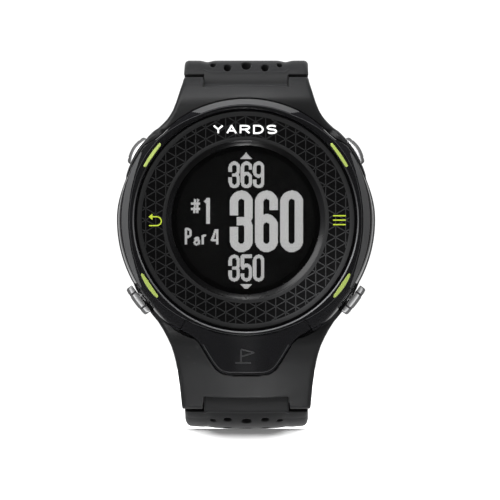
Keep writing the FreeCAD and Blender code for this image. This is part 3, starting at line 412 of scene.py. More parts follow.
def surface_net(field, low, high, cell, refine):
    """Surface of field < 0 on a grid, as vertices, quads and normals."""
    low = np.asarray(low, float)
    high = np.asarray(high, float)
    size = np.ceil((high - low) / cell).astype(int) + 1
    axes = [low[i] + cell * np.arange(size[i], dtype=np.float32) for i in range(3)]
    values = field(axes[0][:, None, None], axes[1][None, :, None], axes[2][None, None, :])
    values = np.broadcast_to(values, tuple(size)).astype(np.float32)
    solid = values < 0
    corners = [(i, j, k) for i in (0, 1) for j in (0, 1) for k in (0, 1)]

    # one vertex in each cell the surface passes through, at the mean of its edge crossings
    filled = np.zeros(tuple(size - 1), np.int8)
    for i, j, k in corners:
        filled += solid[i:size[0] - 1 + i, j:size[1] - 1 + j, k:size[2] - 1 + k]
    active = (filled > 0) & (filled < 8)
    vertex_ids = np.full(active.shape, -1, np.int64)
    I, J, K = np.nonzero(active)
    vertex_ids[I, J, K] = np.arange(len(I))
    total = np.zeros((len(I), 3))
    crossings = np.zeros(len(I))
    for a in corners:
        for axis in range(3):
            if a[axis]:
                continue
            b = list(a)
            b[axis] = 1
            value_a = values[I + a[0], J + a[1], K + a[2]]
            value_b = values[I + b[0], J + b[1], K + b[2]]
            crossed = (value_a < 0) != (value_b < 0)
            share = np.where(crossed, value_a / np.where(crossed, value_a - value_b, 1), 0)
            point = np.array(a, float)[None, :] + np.zeros((len(I), 3))
            point[:, axis] += share
            total += point * crossed[:, None]
            crossings += crossed
    points = low + cell * (total / crossings[:, None] + np.stack([I, J, K], 1))

    # one quad round each grid edge that the surface crosses
    quads = []
    for axis in range(3):
        side_a, side_b = [(1, 2), (2, 0), (0, 1)][axis]
        near = [slice(None)] * 3
        far = [slice(None)] * 3
        near[axis] = slice(0, size[axis] - 1)
        far[axis] = slice(1, size[axis])
        near, far = solid[tuple(near)], solid[tuple(far)]
        edges = np.nonzero(near != far)
        inside = ((edges[side_a] > 0) & (edges[side_b] > 0)
                  & (edges[side_a] < size[side_a] - 1) & (edges[side_b] < size[side_b] - 1))
        edges = [e[inside] for e in edges]
        outward = near[tuple(edges)]
        ring = []
        for u, v in ((0, 0), (1, 0), (1, 1), (0, 1)):
            cells = [e.copy() for e in edges]
            cells[side_a] = cells[side_a] - 1 + u
            cells[side_b] = cells[side_b] - 1 + v
            ring.append(vertex_ids[tuple(cells)])
        quad = np.stack(ring, 1)
        quad[~outward] = quad[~outward][:, ::-1]
        quads.append(quad)

    # draw the vertices onto the surface, within reach of where they started
    start = points.copy()
    for _ in range(refine):
        value = field(*points.T)
        slope = gradient(field, points, cell * 0.15)
        steepness = np.maximum((slope * slope).sum(1), 0.05)
        step = (value / steepness)[:, None] * slope
        length = np.linalg.norm(step, axis=1, keepdims=True)
        step *= np.minimum(1, 0.4 * cell / np.maximum(length, 1e-9))
        points = points - step
        points = start + np.clip(points - start, -0.6 * cell, 0.6 * cell)
    normals = gradient(field, points, cell * 0.35)
    normals /= np.maximum(np.linalg.norm(normals, axis=1, keepdims=True), 1e-9)
    return points, np.concatenate(quads), normals


def add_solid(name, field, low, high, cell, finishes, refine=2, warp=None, flip=False, **options):
    """Object from a distance field; warp bends points and normals, flip turns the faces round."""
    points, quads, normals = surface_net(field, low, high, cell, refine)
    if flip:
        quads = quads[:, ::-1]
    if warp is not None:
        points, normals = warp(points, normals)
    return add_mesh(name, points, quads, finishes, normals=normals, **options)


def turn(radius, rise, steps):
    """Vertices and quads of closed sections about the dial axis: a row per step, or one row."""
    count = radius.shape[1]
    angle = np.arange(steps) * TAU / steps
    verts = np.zeros((steps, count, 3))
    verts[:, :, 0] = radius * np.cos(angle)[:, None]
    verts[:, :, 1] = -rise
    verts[:, :, 2] = radius * np.sin(angle)[:, None]
    here = np.arange(steps * count).reshape(steps, count)
    onward = np.roll(here, -1, 0)
    faces = np.stack([here, np.roll(here, -1, 1), np.roll(onward, -1, 1), onward], -1)
    return verts.reshape(-1, 3), faces.reshape(-1, 4)


def add_turned(name, profile, finishes, steps, **options):
    """Object turned from one closed outline of (radius, rise)."""
    outline = np.asarray(profile, float)
    verts, faces = turn(outline[None, :, 0], outline[None, :, 1], steps)
    return add_mesh(name, verts, faces, finishes, **options)


def radial_axes(angle):
    """Unit (x, z) outwards and along, for a direction in degrees from 3 o'clock."""
    a = math.radians(angle)
    return (math.cos(a), math.sin(a)), (-math.sin(a), math.cos(a))


def to_radial(x, z, angle):
    """Distances outwards and along, measured in the axes of a direction."""
    outward, tangent = radial_axes(angle)
    return x * outward[0] + z * outward[1], x * tangent[0] + z * tangent[1]


def from_radial(out, along, angle):
    outward, tangent = radial_axes(angle)
    return out * outward[0] + along * tangent[0], out * outward[1] + along * tangent[1]


# ------------------------------------------------------------------ main case
# plan outlines of the hoods at 12 and 6 o'clock, right half, (x, z)
UPPER_PLAN = mirrored([
    (17.6, 14.2), (16.6, 15.3), (15.4, 16.2), (14.6, 17.0), (13.9, 18.0), (13.0, 19.5),
    (12.4, 21.0), (11.95, 22.4), (11.6, 23.5), (11.3, 24.4), (11.0, 25.65)])
LOWER_PLAN = mirrored([
    (20.2, -9.5), (19.6, -12.2), (18.6, -14.3), (16.9, -16.6), (15.65, -18.1), (14.75, -19.5),
    (13.95, -21.0), (13.3, -22.4), (12.85, -23.8), (12.5, -25.2), (12.25, -26.6),
    (12.05, -28.1), (11.85, -29.5), (11.65, -31.6), (11.45, -33.8)])
# side outlines of the hoods, (rise, z)
UPPER_SIDE = chaikin([
    (2.4, 14.0), (11.3, 14.0), (11.4, 20.0), (11.25, 21.6), (10.55, 22.9), (9.45, 24.45),
    (7.4, 25.85), (2.7, 25.8), (1.6, 24.8), (1.4, 22.0), (1.6, 19.0)])
LOWER_SIDE = chaikin([
    (2.4, -8.0), (8.6, -8.0), (9.2, -14.0), (10.75, -19.0), (11.0, -21.6), (10.35, -23.4),
    (9.55, -25.2), (8.3, -27.3), (6.9, -29.4), (5.25, -31.9), (3.6, -34.1), (-0.4, -34.1),
    (-1.35, -32.9), (-1.6, -31.2), (-0.7, -27.4), (0.5, -22.4), (1.5, -18.0)])
# section of the round body, (radius, rise)
BOWL = [(0, 0.3), (20.8, 0.3), (21.35, 0.8), (21.95, 2.2), (22.55, 3.6), (22.9, 5.0),
        (23.0, 7.0), (22.96, 8.6), (22.72, 9.4), (0, 9.4)]
# tongue of the antenna cover at 6 o'clock: left edge (x, z), and the arc under the ring
TONGUE_LEFT = [(-10.6, -17.75), (-11.65, -19.5), (-9.3, -20.8), (-8.27, -21.8), (-7.4, -23.3),
               (-6.44, -24.9), (-5.34, -26.5), (-4.2, -27.3), (-2.2, -27.6)]
TONGUE_SPREAD = 31
TONGUE_ARC_RADIUS, TONGUE_ARC_STEPS = 20.65, 16
arc_angles = [math.radians(-90 + TONGUE_SPREAD - i * 2 * TONGUE_SPREAD / TONGUE_ARC_STEPS)
              for i in range(TONGUE_ARC_STEPS + 1)]
TONGUE = mirrored(TONGUE_LEFT) + [
    (TONGUE_ARC_RADIUS * math.cos(a), TONGUE_ARC_RADIUS * math.sin(a)) for a in arc_angles]
SEAT_GAP = 0.07
SEAT_EDGE = 0.12
# lug pins at 12 and 6 o'clock, (z, rise)
UPPER_PIN, LOWER_PIN = (22.8, 4.6), (-29.8, 1.4)

BUTTON_RISE = 7.1
# name, angle from 3 o'clock, radius at the mouth of the well
BUTTONS = [("upper_right", 32.5, 23.4), ("upper_left", 147.5, 23.4),
           ("lower_right", -36.7, 24.4), ("lower_left", 216.7, 24.4)]
# proud: height of the face past the well; bend, barrel: its curvature along and across;
# corner: edge radius; half, well: half lengths of cap and well; grooves: their places along
CAPS = {
    "upper": SimpleNamespace(proud=0.6, bend=0.095, barrel=0.22, corner=0.95, half=2.68,
                             well=2.82, grooves=(-1.9, 1.9), finish="steel"),
    "lower": SimpleNamespace(proud=0.35, bend=0.03, barrel=0.16, corner=0.8, half=2.85,
                             well=3.05, grooves=(-1.65, -1.35, 1.35, 1.65),
                             finish="steel_bar"),
}


def cap_shape(button):
    return CAPS[button.split("_")[0]]


def ring_reach(x, z):
    """Outer radius of the glossy ring: cut back at the hood at 12, drawn out by the tongue."""
    from_12 = np.degrees(np.abs(np.arctan2(x, z)))
    from_6 = 180.0 - from_12
    radius = np.interp(from_12, [0, 26, 44, 48, 54, 70, 86],
                       [21.56, 21.54, 21.25, 21.45, 22.3, 22.35, 22.7])
    return radius + 0.42 * np.interp(from_6, [20, 27, 38, 50], [0, 1, 1, 0])


def case_blank(x, rise, z, rad):
    """Round body, the two hoods with their strap notches, and swellings at the upper buttons."""
    # slightly drawn in above 3 and 9 o'clock
    t = np.clip((np.degrees(np.arctan2(z, np.abs(x))) - 2.0) / 20.0, 0, 1)
    bowl = outline_distance(rad + 0.42 * smoothstep_scaled(t), rise, BOWL)
    crown = 0.0075 * x * x
    upper = meet(outline_distance(x, z, UPPER_PLAN),
                 outline_distance(rise + crown, z, UPPER_SIDE) * 0.97, 0.75)
    lower = meet(outline_distance(x, z, LOWER_PLAN),
                 outline_distance(rise + crown, z, LOWER_SIDE) * 0.97, 0.85)
    side = np.abs(x)
    upper = cut(upper, np.maximum(side - 7.62, 24.05 - 0.006 * x * x - z), 0.16)
    lip = -31.7 + 0.005 * x * x
    notch = np.maximum(side - 7.48 - 0.14 * np.clip(lip - z, 0, 3), z - lip)
    lower = cut(lower, notch, 0.16)
    solid = join(bowl, upper, 0.5)
    solid = join(solid, lower, 0.6)
    for _, angle, _ in BUTTONS[:2]:
        out, along = to_radial(x, z, angle)
        block = meet(np.abs(along) - 5.0, np.abs(rise - BUTTON_RISE) - 3.1, 1.6)
        pad = meet(block, np.maximum(out - 22.95 + 0.04 * along * along, 19.0 - out), 0.5)
        solid = join(solid, pad, 0.7)
    return solid


def smoothstep_scaled(t):
    return smoothstep(t)


def cut_button_well(solid, x, rise, z, button, angle, reach):
    out, along = to_radial(x, z, angle)
    mouth = np.maximum(np.abs(along) - cap_shape(button).well,
                       np.abs(rise - BUTTON_RISE) - 1.76)
    solid = cut(solid, np.maximum(mouth, (reach - 2.4) - out), 0.28)
    # spring bore, then the stem hole
    rad = np.sqrt(along * along + (rise - BUTTON_RISE) ** 2)
    solid = np.maximum(solid, -np.maximum(rad - 1.25, slab(out, reach - 4.2, 30)))
    return np.maximum(solid, -np.maximum(rad - 0.95, slab(out, 15.5, 30)))


def case_field(x, y, z):
    rise = -y
    rad = np.sqrt(x * x + z * z)
    side = np.abs(x)
    solid = case_blank(x, rise, z, rad)
    # seats of the ring and of the antenna cover
    seat = np.maximum(rad - ring_reach(x, z) - SEAT_GAP, 9.42 - rise)
    solid = cut(solid, seat, SEAT_EDGE)
    seat = np.maximum(outline_distance(x, z, TONGUE) - SEAT_GAP, 7.9 - rise)
    solid = cut(solid, seat, SEAT_EDGE)
    # stepped bore from the dial side, recess in the back
    solid = np.maximum(solid, -np.maximum(rad - 17.9, np.maximum(3.2 - rise, rise - 14)))
    solid = np.maximum(solid, -np.maximum(rad - 15.5, np.maximum(0.9 - rise, rise - 14)))
    solid = cut(solid, np.maximum(rad - 19.7, rise - 1.6), 0.15)
    # flat pocket in the lower hood
    pocket = np.maximum(slab(rise, 4.7, 7.6), slab(z, -26.7, -19.8))
    solid = np.maximum(solid, -np.maximum(side - 7.3, pocket))
    # lug pockets, pin holes and screw head recesses
    solid = cut(solid, np.maximum(np.maximum(side - 7.62, rise - 7.15), 20.5 - z), 0.2)
    solid = cut(solid, np.maximum(np.maximum(side - 7.62, rise - 3.95), z + 27.4), 0.2)
    for pin_z, pin_rise in (UPPER_PIN, LOWER_PIN):
        from_pin = np.sqrt((z - pin_z) ** 2 + (rise - pin_rise) ** 2)
        solid = np.maximum(solid, -np.maximum(from_pin - 0.93, side - 11.0))
        solid = cut(solid, np.maximum(from_pin - 1.5, 10.3 - side), 0.15)
    for button in BUTTONS:
        solid = cut_button_well(solid, x, rise, z, *button)
    return solid


add_solid("case_shell", case_field, (-24.2, -12.2, -34.6), (24.2, 2.4, 26.4),
          0.2 if FINE else 0.3, ["case_matte"], replaces="case_chassis", slot="case_matte")

# ------------------------------------------------------------------ glossy ring, satin facets
# inner part of the section, (radius, rise)
RING_INNER = np.array([
    (18.3, 9.47), (18.3, 11.3), (19.5, 11.3), (19.52, 12.75), (19.62, 13.0), (19.74, 13.2),
    (19.86, 13.36), (19.97, 13.43), (20.09, 13.45), (20.22, 13.44)])
# outside the crease, the rise by the share of the remaining width
FALL_SHARE = [0, 0.1, 0.255, 0.425, 0.6, 0.72, 0.83, 0.93, 1.0]
FALL_RISE = [13.34, 13.12, 12.75, 12.33, 11.85, 11.42, 10.88, 10.25, 9.6]
# radius of the crease by degrees from 12 o'clock
CREASE_ANGLE = [0, 25, 40, 48, 57, 64, 70, 80, 90, 100, 110, 116, 124, 135, 150, 160, 180]
CREASE_RADIUS = [20.42, 20.42, 20.85, 21.1, 21.15, 21.1, 20.95, 20.7, 20.62, 20.7, 20.9, 21.1,
                 21.2, 21.05, 20.6, 20.45, 20.42]
# edges of the facets by degrees from 3 and 9 o'clock
FACET_ANGLE = [0, 10, 20, 26, 33, 45]
FACET_INNER = [20.9, 20.95, 21.2, 21.5, 22.0, 21.6]
FACET_OUTER = [22.1, 22.1, 22.15, 22.2, 22.25, 22.1]
FACET_ROWS = (0.0, 0.2, 0.4, 0.6, 0.8, 1.0)
SKIRT_ROWS = (0.12, 0.3, 0.5, 0.7, 0.86, 1.0)
FACET_SINK = 0.05
RING_STEPS = 1440 if FINE else 720


def tongue_rise(x, z):
    """Height of the glossy surface between the ring and the tip of the tongue."""
    rad = np.sqrt(x * x + z * z)
    from_6 = np.degrees(np.abs(np.arctan2(x, -z)))
    slope = 0.62 + 0.48 * np.minimum(from_6 / 31.0, 1.3) ** 2
    return 13.36 - slope * np.maximum(rad - 20.4, 0)


def build_ring():
    angle = np.arange(RING_STEPS) * TAU / RING_STEPS
    from_12 = np.abs((np.degrees(angle) - 90 + 180) % 360 - 180)
    from_6 = 180 - from_12
    from_side = np.abs(90 - from_12)
    crease = np.interp(from_12, CREASE_ANGLE, CREASE_RADIUS)
    at_12 = from_12 < 40
    facet_in = np.where(at_12, 20.55, np.interp(from_side, FACET_ANGLE, FACET_INNER))
    facet_in = np.maximum(facet_in, crease + 0.07)
    facet_out = np.where(at_12, 21.5, np.interp(from_side, FACET_ANGLE, FACET_OUTER))
    reach = ring_reach(np.cos(angle), np.sin(angle))
    full = np.maximum(reach, 22.7)

    # radii, a column for each point of the section
    inner_count = len(RING_INNER)
    columns = [np.full(RING_STEPS, q) for q in RING_INNER[:, 0]]
    columns += [crease - 0.05, crease + 0.04]
    columns += [facet_in + (facet_out - facet_in) * q for q in FACET_ROWS]
    columns += [facet_out + (full - facet_out) * q for q in SKIRT_ROWS]
    radius = np.stack(columns, 1)
    share = np.clip((radius - crease[:, None]) / (full - crease)[:, None], 0, 1)
    rise = np.interp(share, FALL_SHARE, FALL_RISE)
    rise[:, :inner_count] = RING_INNER[None, :, 1]
    rise[:, inner_count] = 13.40
    # beside the tongue the fall eases to meet it
    ease = np.interp(from_6, [33, 52], [1, 0])[:, None]
    tongue = tongue_rise(radius * np.cos(angle)[:, None], radius * np.sin(angle)[:, None])
    eased = np.maximum(rise, rise * (1 - ease) + tongue * ease)
    rise[:, inner_count + 1:] = eased[:, inner_count + 1:]

    # facets at 12, 3 and 9 o'clock lie a little lower
    column = np.arange(radius.shape[1])[None, :]
    first = inner_count + 2
    band = (column >= first) & (column < first + len(FACET_ROWS))
    hood_limit = 22.65 + (radius - 20.42) * 4.3
    facet = band & ((from_12[:, None] < hood_limit) | (from_side[:, None] < 33.0))
    rise = rise - facet * FACET_SINK
    # cut short where the tongue takes over, and close the section underneath
    limit = np.where(from_6 < 31.15, np.minimum(reach, 20.6), reach)[:, None]
    radius = np.minimum(radius, limit)
    radius = np.concatenate([radius, radius[:, -1:] - 0.05], 1)
    rise = np.concatenate([rise, np.full((RING_STEPS, 1), 9.47)], 1)
    facet = np.concatenate([facet, np.zeros((RING_STEPS, 1), bool)], 1)

    verts, faces = turn(radius, rise, RING_STEPS)
    whole = facet & np.roll(facet, -1, 1) & np.roll(facet, -1, 0)
    whole &= np.roll(np.roll(facet, -1, 0), -1, 1)
    finish = np.where(whole, 1, 0)
    segment = np.tile(np.arange(radius.shape[1]), (RING_STEPS, 1))
    # segments 6 and 7, the rounded inner lip, take the rim grey: a painted highlight line
    finish = np.where((segment >= 6) & (segment <= 7), 2, finish)
    # the crease between the flat band and the fall takes the crease grey, a painted highlight
    # line
    finish = np.where(segment == inner_count, 3, finish)
    add_mesh("ring_gloss", verts, faces, ["case_gloss", "facet", "rim", "crease"],
             face_finish=finish.reshape(-1), sharp=24, replaces="top_case", slot="case_gloss")


build_ring()

# ------------------------------------------------------------------ antenna cover
TONGUE_SOFT = TONGUE_LEFT[:2] + chaikin(TONGUE_LEFT[1:], closed=False)
TONGUE_WIDE = mirrored([(-13.2, -17.0)] + TONGUE_SOFT[1:])
COVER_HALF_ANGLE = math.radians(31.06)


def cover_field(x, y, z):
    rise = -y
    rad = np.sqrt(x * x + z * z)
    plan = outline_distance(x, z, TONGUE_WIDE)
    side = np.maximum((rise - tongue_rise(x, z)) * 0.8, 8.0 - rise)
    solid = meet(plan, side, 0.4)
    # plain joint against the ring
    flank = np.cos(COVER_HALF_ANGLE) * np.abs(x) + math.sin(COVER_HALF_ANGLE) * z
    seam = np.maximum(flank, 20.63 - rad)
    return np.maximum(solid, np.maximum(seam, 17.95 - rad))


add_solid("antenna_shell", cover_field, (-12.2, -13.6, -28.2), (12.2, -7.6, -17.0),
          0.11 if FINE else 0.2, ["case_gloss"], refine=3, replaces="antenna_cover",
          slot="case_gloss")


def rounded(points, radius, steps):
    """Rounds the corners of a closed outline."""
    corners = [np.array(p, float) for p in points]
    outline = []
    for i, corner in enumerate(corners):
        back = corners[i - 1] - corner
        on = corners[(i + 1) % len(corners)] - corner
        back_length, on_length = np.linalg.norm(back), np.linalg.norm(on)
        reach = min(radius, back_length * 0.45, on_length * 0.45)
        start = corner + back / back_length * reach
        end = corner + on / on_length * reach
        for j in range(steps + 1):
            t = j / steps
            outline.append(tuple((1 - t) ** 2 * start + 2 * t * (1 - t) * corner + t * t * end))
    return outline


def unit_rows(vectors):
    return vectors / np.linalg.norm(vectors, axis=1, keepdims=True)


def left_normals(tangents):
    return np.stack([-tangents[:, 1], tangents[:, 0]], 1)


def add_tongue_lines(name, lines, width, lift):
    """Raised lines on the tongue along (x, z) polylines, each given with whether it is closed."""
    section = [(-0.5, -0.06), (-0.42, 0.55 * lift), (-0.2, lift), (0.2, lift),
               (0.42, 0.55 * lift), (0.5, -0.06)]
    sides = len(section)
    verts, faces = [], []
    for line, closed in lines:
        corners = np.array(line, float)
        path = np.vstack([corners, corners[:1]]) if closed else corners
        points = []
        for a, b, length in zip(path, path[1:], np.linalg.norm(np.diff(path, axis=0), axis=1)):
            pieces = max(1, int(length / 0.12))
            points += [a + (b - a) * j / pieces for j in range(pieces)]
        if not closed:
            points.append(corners[-1])
        points = np.array(points)
        count = len(points)
        if closed:
            tangents = np.roll(points, -1, 0) - np.roll(points, 1, 0)
        else:
            tangents = np.gradient(points, axis=0)
        across = left_normals(unit_rows(tangents))
        first = len(verts)
        for i in range(count):
            for offset, lifted in section:
                x, z = points[i] + across[i] * offset * width
                verts.append((x, -(float(tongue_rise(x, z)) + lifted), z))
        for i in range(count if closed else count - 1):
            here, there = first + i * sides, first + (i + 1) % count * sides
            for e in range(sides):
                after = (e + 1) % sides
                faces.append((here + e, here + after, there + after, there + e))
        if not closed:
            faces.append(tuple(first + e for e in range(sides))[::-1])
            faces.append(tuple(first + (count - 1) * sides + e for e in range(sides)))
    add_mesh(name, verts, faces, ["crease"], slot="case_gloss", sharp=50)


# raised line a little inside the edge of the tip, in the crease grey: a painted highlight of the
# bevel there
EDGE_INSET = 0.42
tip = np.array(mirrored([q for q in TONGUE_SOFT if q[1] < -22.3]))
inset = left_normals(unit_rows(np.gradient(tip, axis=0))) * EDGE_INSET
highlight_line = tip + inset
middle = len(tip) // 2
if abs(highlight_line[middle][1]) > abs(tip[middle][1]):
    highlight_line = tip - inset
add_tongue_lines("tongue_edge_highlight", [(highlight_line.tolist(), False)], width=0.2, lift=0.035)
# golf flag in outline: pennant, pole and ground
add_tongue_lines("flag_mark", [
    (rounded([(-0.85, -22.95), (1.55, -23.55), (-0.85, -24.3)], radius=0.22, steps=4), True),
    ([(-0.85, -24.2), (-0.85, -25.3)], False),
    ([(-1.9, -25.38), (0.9, -25.38)], False)], width=0.27, lift=0.07)

# ------------------------------------------------------------------ bezel and lattice
# closed section, (radius, rise)
BEZEL = [
    (13.2, 12.55), (13.22, 12.64), (13.32, 12.74), (13.95, 13.08), (14.03, 13.13), (14.1, 13.2),
    (14.18, 13.24), (14.3, 13.25), (14.68, 13.25), (14.74, 13.22), (14.8, 13.2), (18.42, 13.2),
    (18.48, 13.22), (18.54, 13.25), (19.14, 13.25), (19.24, 13.2), (19.31, 13.08),
    (19.33, 12.9), (19.33, 11.35), (14.1, 11.35), (14.1, 12.55)]
BEZEL_STEPS = 360
# finish of each edge of the section: 0 matte, 1 raised borders, 2 inner bevel
edge_finish = np.zeros(len(BEZEL), int)
edge_finish[1:6] = 2
edge_finish[6:10] = 1
edge_finish[12:16] = 1
add_turned("bezel_face", BEZEL, ["bezel_matte", "bezel_border", "bevel"], BEZEL_STEPS,
           face_finish=np.tile(edge_finish, BEZEL_STEPS), sharp=35, replaces="bezel_ring",
           slot="bezel_matte")

RIB_PITCH = 1.775
RIB_WIDTH, RIB_CHAMFER = 0.21, 0.05
RIB_FOOT, RIB_TOP = 13.19, 13.232
LATTICE_INNER, LATTICE_OUTER = 14.79, 18.43


def add_rib(verts, faces, start, end):
    """Low ridge between two points of the dial plane."""
    length = np.linalg.norm(end - start)
    if length < 0.25:
        return
    direction = (end - start) / length
    across = np.array([-direction[1], direction[0]])
    half = RIB_WIDTH / 2
    k = len(verts)
    for point in (start, end):
        for offset, rise in ((-half, RIB_FOOT), (-half + RIB_CHAMFER, RIB_TOP),
                             (half - RIB_CHAMFER, RIB_TOP), (half, RIB_FOOT)):
            x, z = point + across * offset
            verts.append((x, -rise, z))
    faces += [(k, k + 1, k + 5, k + 4), (k + 1, k + 2, k + 6, k + 5),
              (k + 2, k + 3, k + 7, k + 6), (k + 3, k, k + 4, k + 7),
              (k, k + 3, k + 2, k + 1), (k + 4, k + 5, k + 6, k + 7)]


def build_lattice():
    """Ribs in three directions, making triangles between the borders of the bezel."""
    verts, faces = [], []
    for angle in (90.0, 30.0, -30.0):
        outward, tangent = (np.array(axis) for axis in radial_axes(angle))
        for k in range(-10, 11):
            offset = k * RIB_PITCH
            if abs(offset) >= 18.38:
                continue
            outer = math.sqrt(LATTICE_OUTER ** 2 - offset * offset)
            if abs(offset) < LATTICE_INNER:
                inner = math.sqrt(LATTICE_INNER ** 2 - offset * offset)
                runs = [(-outer, -inner), (inner, outer)]
            else:
                runs = [(-outer, outer)]
            for start, end in runs:
                add_rib(verts, faces, tangent * offset + outward * start,
                        tangent * offset + outward * end)
    add_mesh("bezel_lattice", verts, faces, ["lattice"], smooth=False, slot="bezel_matte")


build_lattice()


# ------------------------------------------------------------------ printing
def add_print(name, mask, x_range, z_range, pitch, rise, finish, slot, thick=0.012, gap=0.0):
    """Flat print made of short rows, where mask(x, z) is true."""
    x_low, z_low = x_range[0], z_range[0]
    columns = int(round((x_range[1] - x_low) / pitch))
    rows = int(round((z_range[1] - z_low) / pitch))
    xs = x_low + (np.arange(columns) + 0.5) * pitch
    zs = z_low + (np.arange(rows) + 0.5) * pitch
    inked = np.broadcast_to(mask(xs[:, None], zs[None, :]), (columns, rows))
    verts, faces = [], []
    for j in range(rows):
        change = np.diff(np.concatenate([[False], inked[:, j], [False]]).astype(int))
        for first, last in zip(np.nonzero(change == 1)[0], np.nonzero(change == -1)[0]):
            k = len(verts)
            left, right = x_low + first * pitch, x_low + last * pitch
            low, high = z_low + j * pitch + gap / 2, z_low + (j + 1) * pitch - gap / 2
            for y in (-rise, -(rise + thick)):
                verts += [(left, y, low), (right, y, low), (right, y, high), (left, y, high)]
            faces += [(k + 4, k + 5, k + 6, k + 7), (k, k + 3, k + 2, k + 1),
                      (k, k + 1, k + 5, k + 4), (k + 1, k + 2, k + 6, k + 5),
                      (k + 2, k + 3, k + 7, k + 6), (k + 3, k, k + 4, k + 7)]
    add_mesh(name, verts, faces, [finish], smooth=False, slot=slot)


def segment_distance(x, z, start, end):
    edge_x, edge_z = end[0] - start[0], end[1] - start[1]
    share = ((x - start[0]) * edge_x + (z - start[1]) * edge_z)
    share = np.clip(share / max(edge_x * edge_x + edge_z * edge_z, 1e-9), 0, 1)
    return np.sqrt((x - start[0] - edge_x * share) ** 2 + (z - start[1] - edge_z * share) ** 2)


def arc(x, z, width, height, start, end, steps=12):
    """Points of an elliptic arc; width and height are its half axes, angles in degrees."""
    angles = [math.radians(start + (end - start) * i / steps) for i in range(steps + 1)]
    return [(x + width * math.cos(a), z + height * math.sin(a)) for a in angles]


def glyph(char, width, height, stroke):
    """Centre lines of one character in a width by height box."""
    left, right = stroke / 2, width - stroke / 2
    low, top = stroke / 2, height - stroke / 2
    mid, cen = height / 2, width / 2
    half = (right - left) / 2
    bow = min(half * 1.1, (mid - low) * 0.95)
    # parts shared by several characters
    head = partial(arc, cen, top - bow, half, bow)
    foot = partial(arc, cen, low + bow, half, bow)
    bowl = (top - mid) / 2
    loop = ([(left, low), (left, top), (cen, top)]
            + arc(cen, top - bowl, half, bowl, 90, -90, 8) + [(left, mid)])
    # waist of the 3
    waist = 0.86 * bow
    waist_arc = partial(arc, right - half * 0.75)
    waist_start = (cen - half * 0.35 - stroke * 0.25, mid)
    flag_x = cen + half * 0.1
    return {
        "0": [head(180, 0) + foot(0, -180) + [(left, top - bow)]],
        "1": [[(cen - half * 0.9, top - height * 0.13), (flag_x, top - height * 0.02),
               (flag_x, low - stroke / 2)],
              [(flag_x, top + stroke / 2), (flag_x, low)]],
        "3": [[(left, top - height * 0.34), (left, top - bow)] + head(180, 0)
              + [(right, mid + waist)]
              + waist_arc(mid + waist, half * 0.75, waist, 0, -90, 8) + [waist_start],
              [waist_start] + waist_arc(mid - waist, half * 0.75, waist, 90, 0, 8)
              + [(right, low + bow)] + foot(0, -180) + [(left, low + height * 0.34)]],
        "4": [[(right, low + height * 0.26), (left, low + height * 0.26), (width * 0.62, top)],
              [(width * 0.72, top), (width * 0.72, low)]],
        "5": [[(right + stroke / 2, top), (left, top), (left, mid + height * 0.06)],
              arc(cen, mid + height * 0.10 - bow, half, bow, 170, 0) + foot(0, -180)
              + [(left, low + height * 0.25)]],
        "6": [[(right, top - height * 0.25), (right, top - bow)] + head(0, 180) + foot(180, 360)
              + arc(cen, mid + height * 0.05 - bow, half, bow, 0, 180)],
        "9": [[(left, low + height * 0.25), (left, low + bow)] + foot(180, 360) + head(0, 180)
              + arc(cen, mid - height * 0.05 + bow, half, bow, 180, 360)],
        "#": [[(width * 0.36, low), (width * 0.44, top)],
              [(width * 0.62, low), (width * 0.70, top)],
              [(left, height * 0.34), (right, height * 0.34)],
              [(left, height * 0.66), (right, height * 0.66)]],
        "P": [loop],
        "a": [arc(cen, height * 0.5 - stroke / 2, half, height * 0.5 - stroke, 150, 0, 8)
              + [(right, low)],
              arc(cen, low + height * 0.2, half, height * 0.2, 0, 360)],
        "r": [[(left, low), (left, top)],
              arc(cen + half * 0.3, top - bow * 0.7, half * 1.2, bow * 0.7, 180, 70, 6)],
        "Y": [[(left, top), (cen, mid), (right, top)], [(cen, mid), (cen, low)]],
        "A": [[(left, low), (cen, top), (right, low)],
              [(left + half * 0.4, height * 0.36), (right - half * 0.4, height * 0.36)]],
        "R": [loop, [(cen, mid), (right, low)]],
        "D": [[(left, low), (left, top), (cen * 0.8, top)]
              + arc(cen * 0.9, mid, width - cen * 0.9 - stroke / 2, top - mid, 90, -90, 10)
              + [(left, low)]],
        "S": [arc(cen, top - bowl, half, bowl, 30, 270, 10)
              + arc(cen, low + (mid - low) / 2, half, (mid - low) / 2, 90, -150, 10)],
    }[char]


def text_mask(items):
    """Mask of (char, left x, low z, width, height, stroke) items; stroke ends are square."""
    strokes = []
    for char, x, z, width, height, stroke in items:
        for line in glyph(char, width, height, stroke):
            strokes.append(([(x + a, z + b) for a, b in line], stroke))

    def mask(X, Z):
        inked = np.zeros(np.broadcast(X, Z).shape, bool)
        for line, stroke in strokes:
            last = len(line) - 2
            closed = math.dist(line[0], line[-1]) < 1e-6
            for i, (a, b) in enumerate(zip(line[:-1], line[1:])):
                near = segment_distance(X, Z, a, b) < stroke / 2
                edge = (b[0] - a[0], b[1] - a[1])
                if not closed and i == 0:
                    near = near & ((X - a[0]) * edge[0] + (Z - a[1]) * edge[1] >= 0)
                if not closed and i == last:
                    near = near & ((X - b[0]) * edge[0] + (Z - b[1]) * edge[1] <= 0)
                inked |= near
        return inked
    return mask


def text_row(text, x, z, pitch, width, height, stroke):
    return [(char, x + i * pitch, z, width, height, stroke) for i, char in enumerate(text)]


PRINT_RISE = 13.235
PRINT_PITCH = 0.035
WORD_LETTER, WORD_GAP = 1.86, 0.52
word = text_row("YARDS", x=-5.8164, z=15.2736, pitch=WORD_LETTER + WORD_GAP,
                width=WORD_LETTER, height=1.62, stroke=0.29)
add_print("print_word", text_mask(word), (-5.994, 5.9052), (15.096, 17.0496), PRINT_PITCH,
          PRINT_RISE, "print_white", slot="bezel_matte")

LINE_WIDTH = 0.2
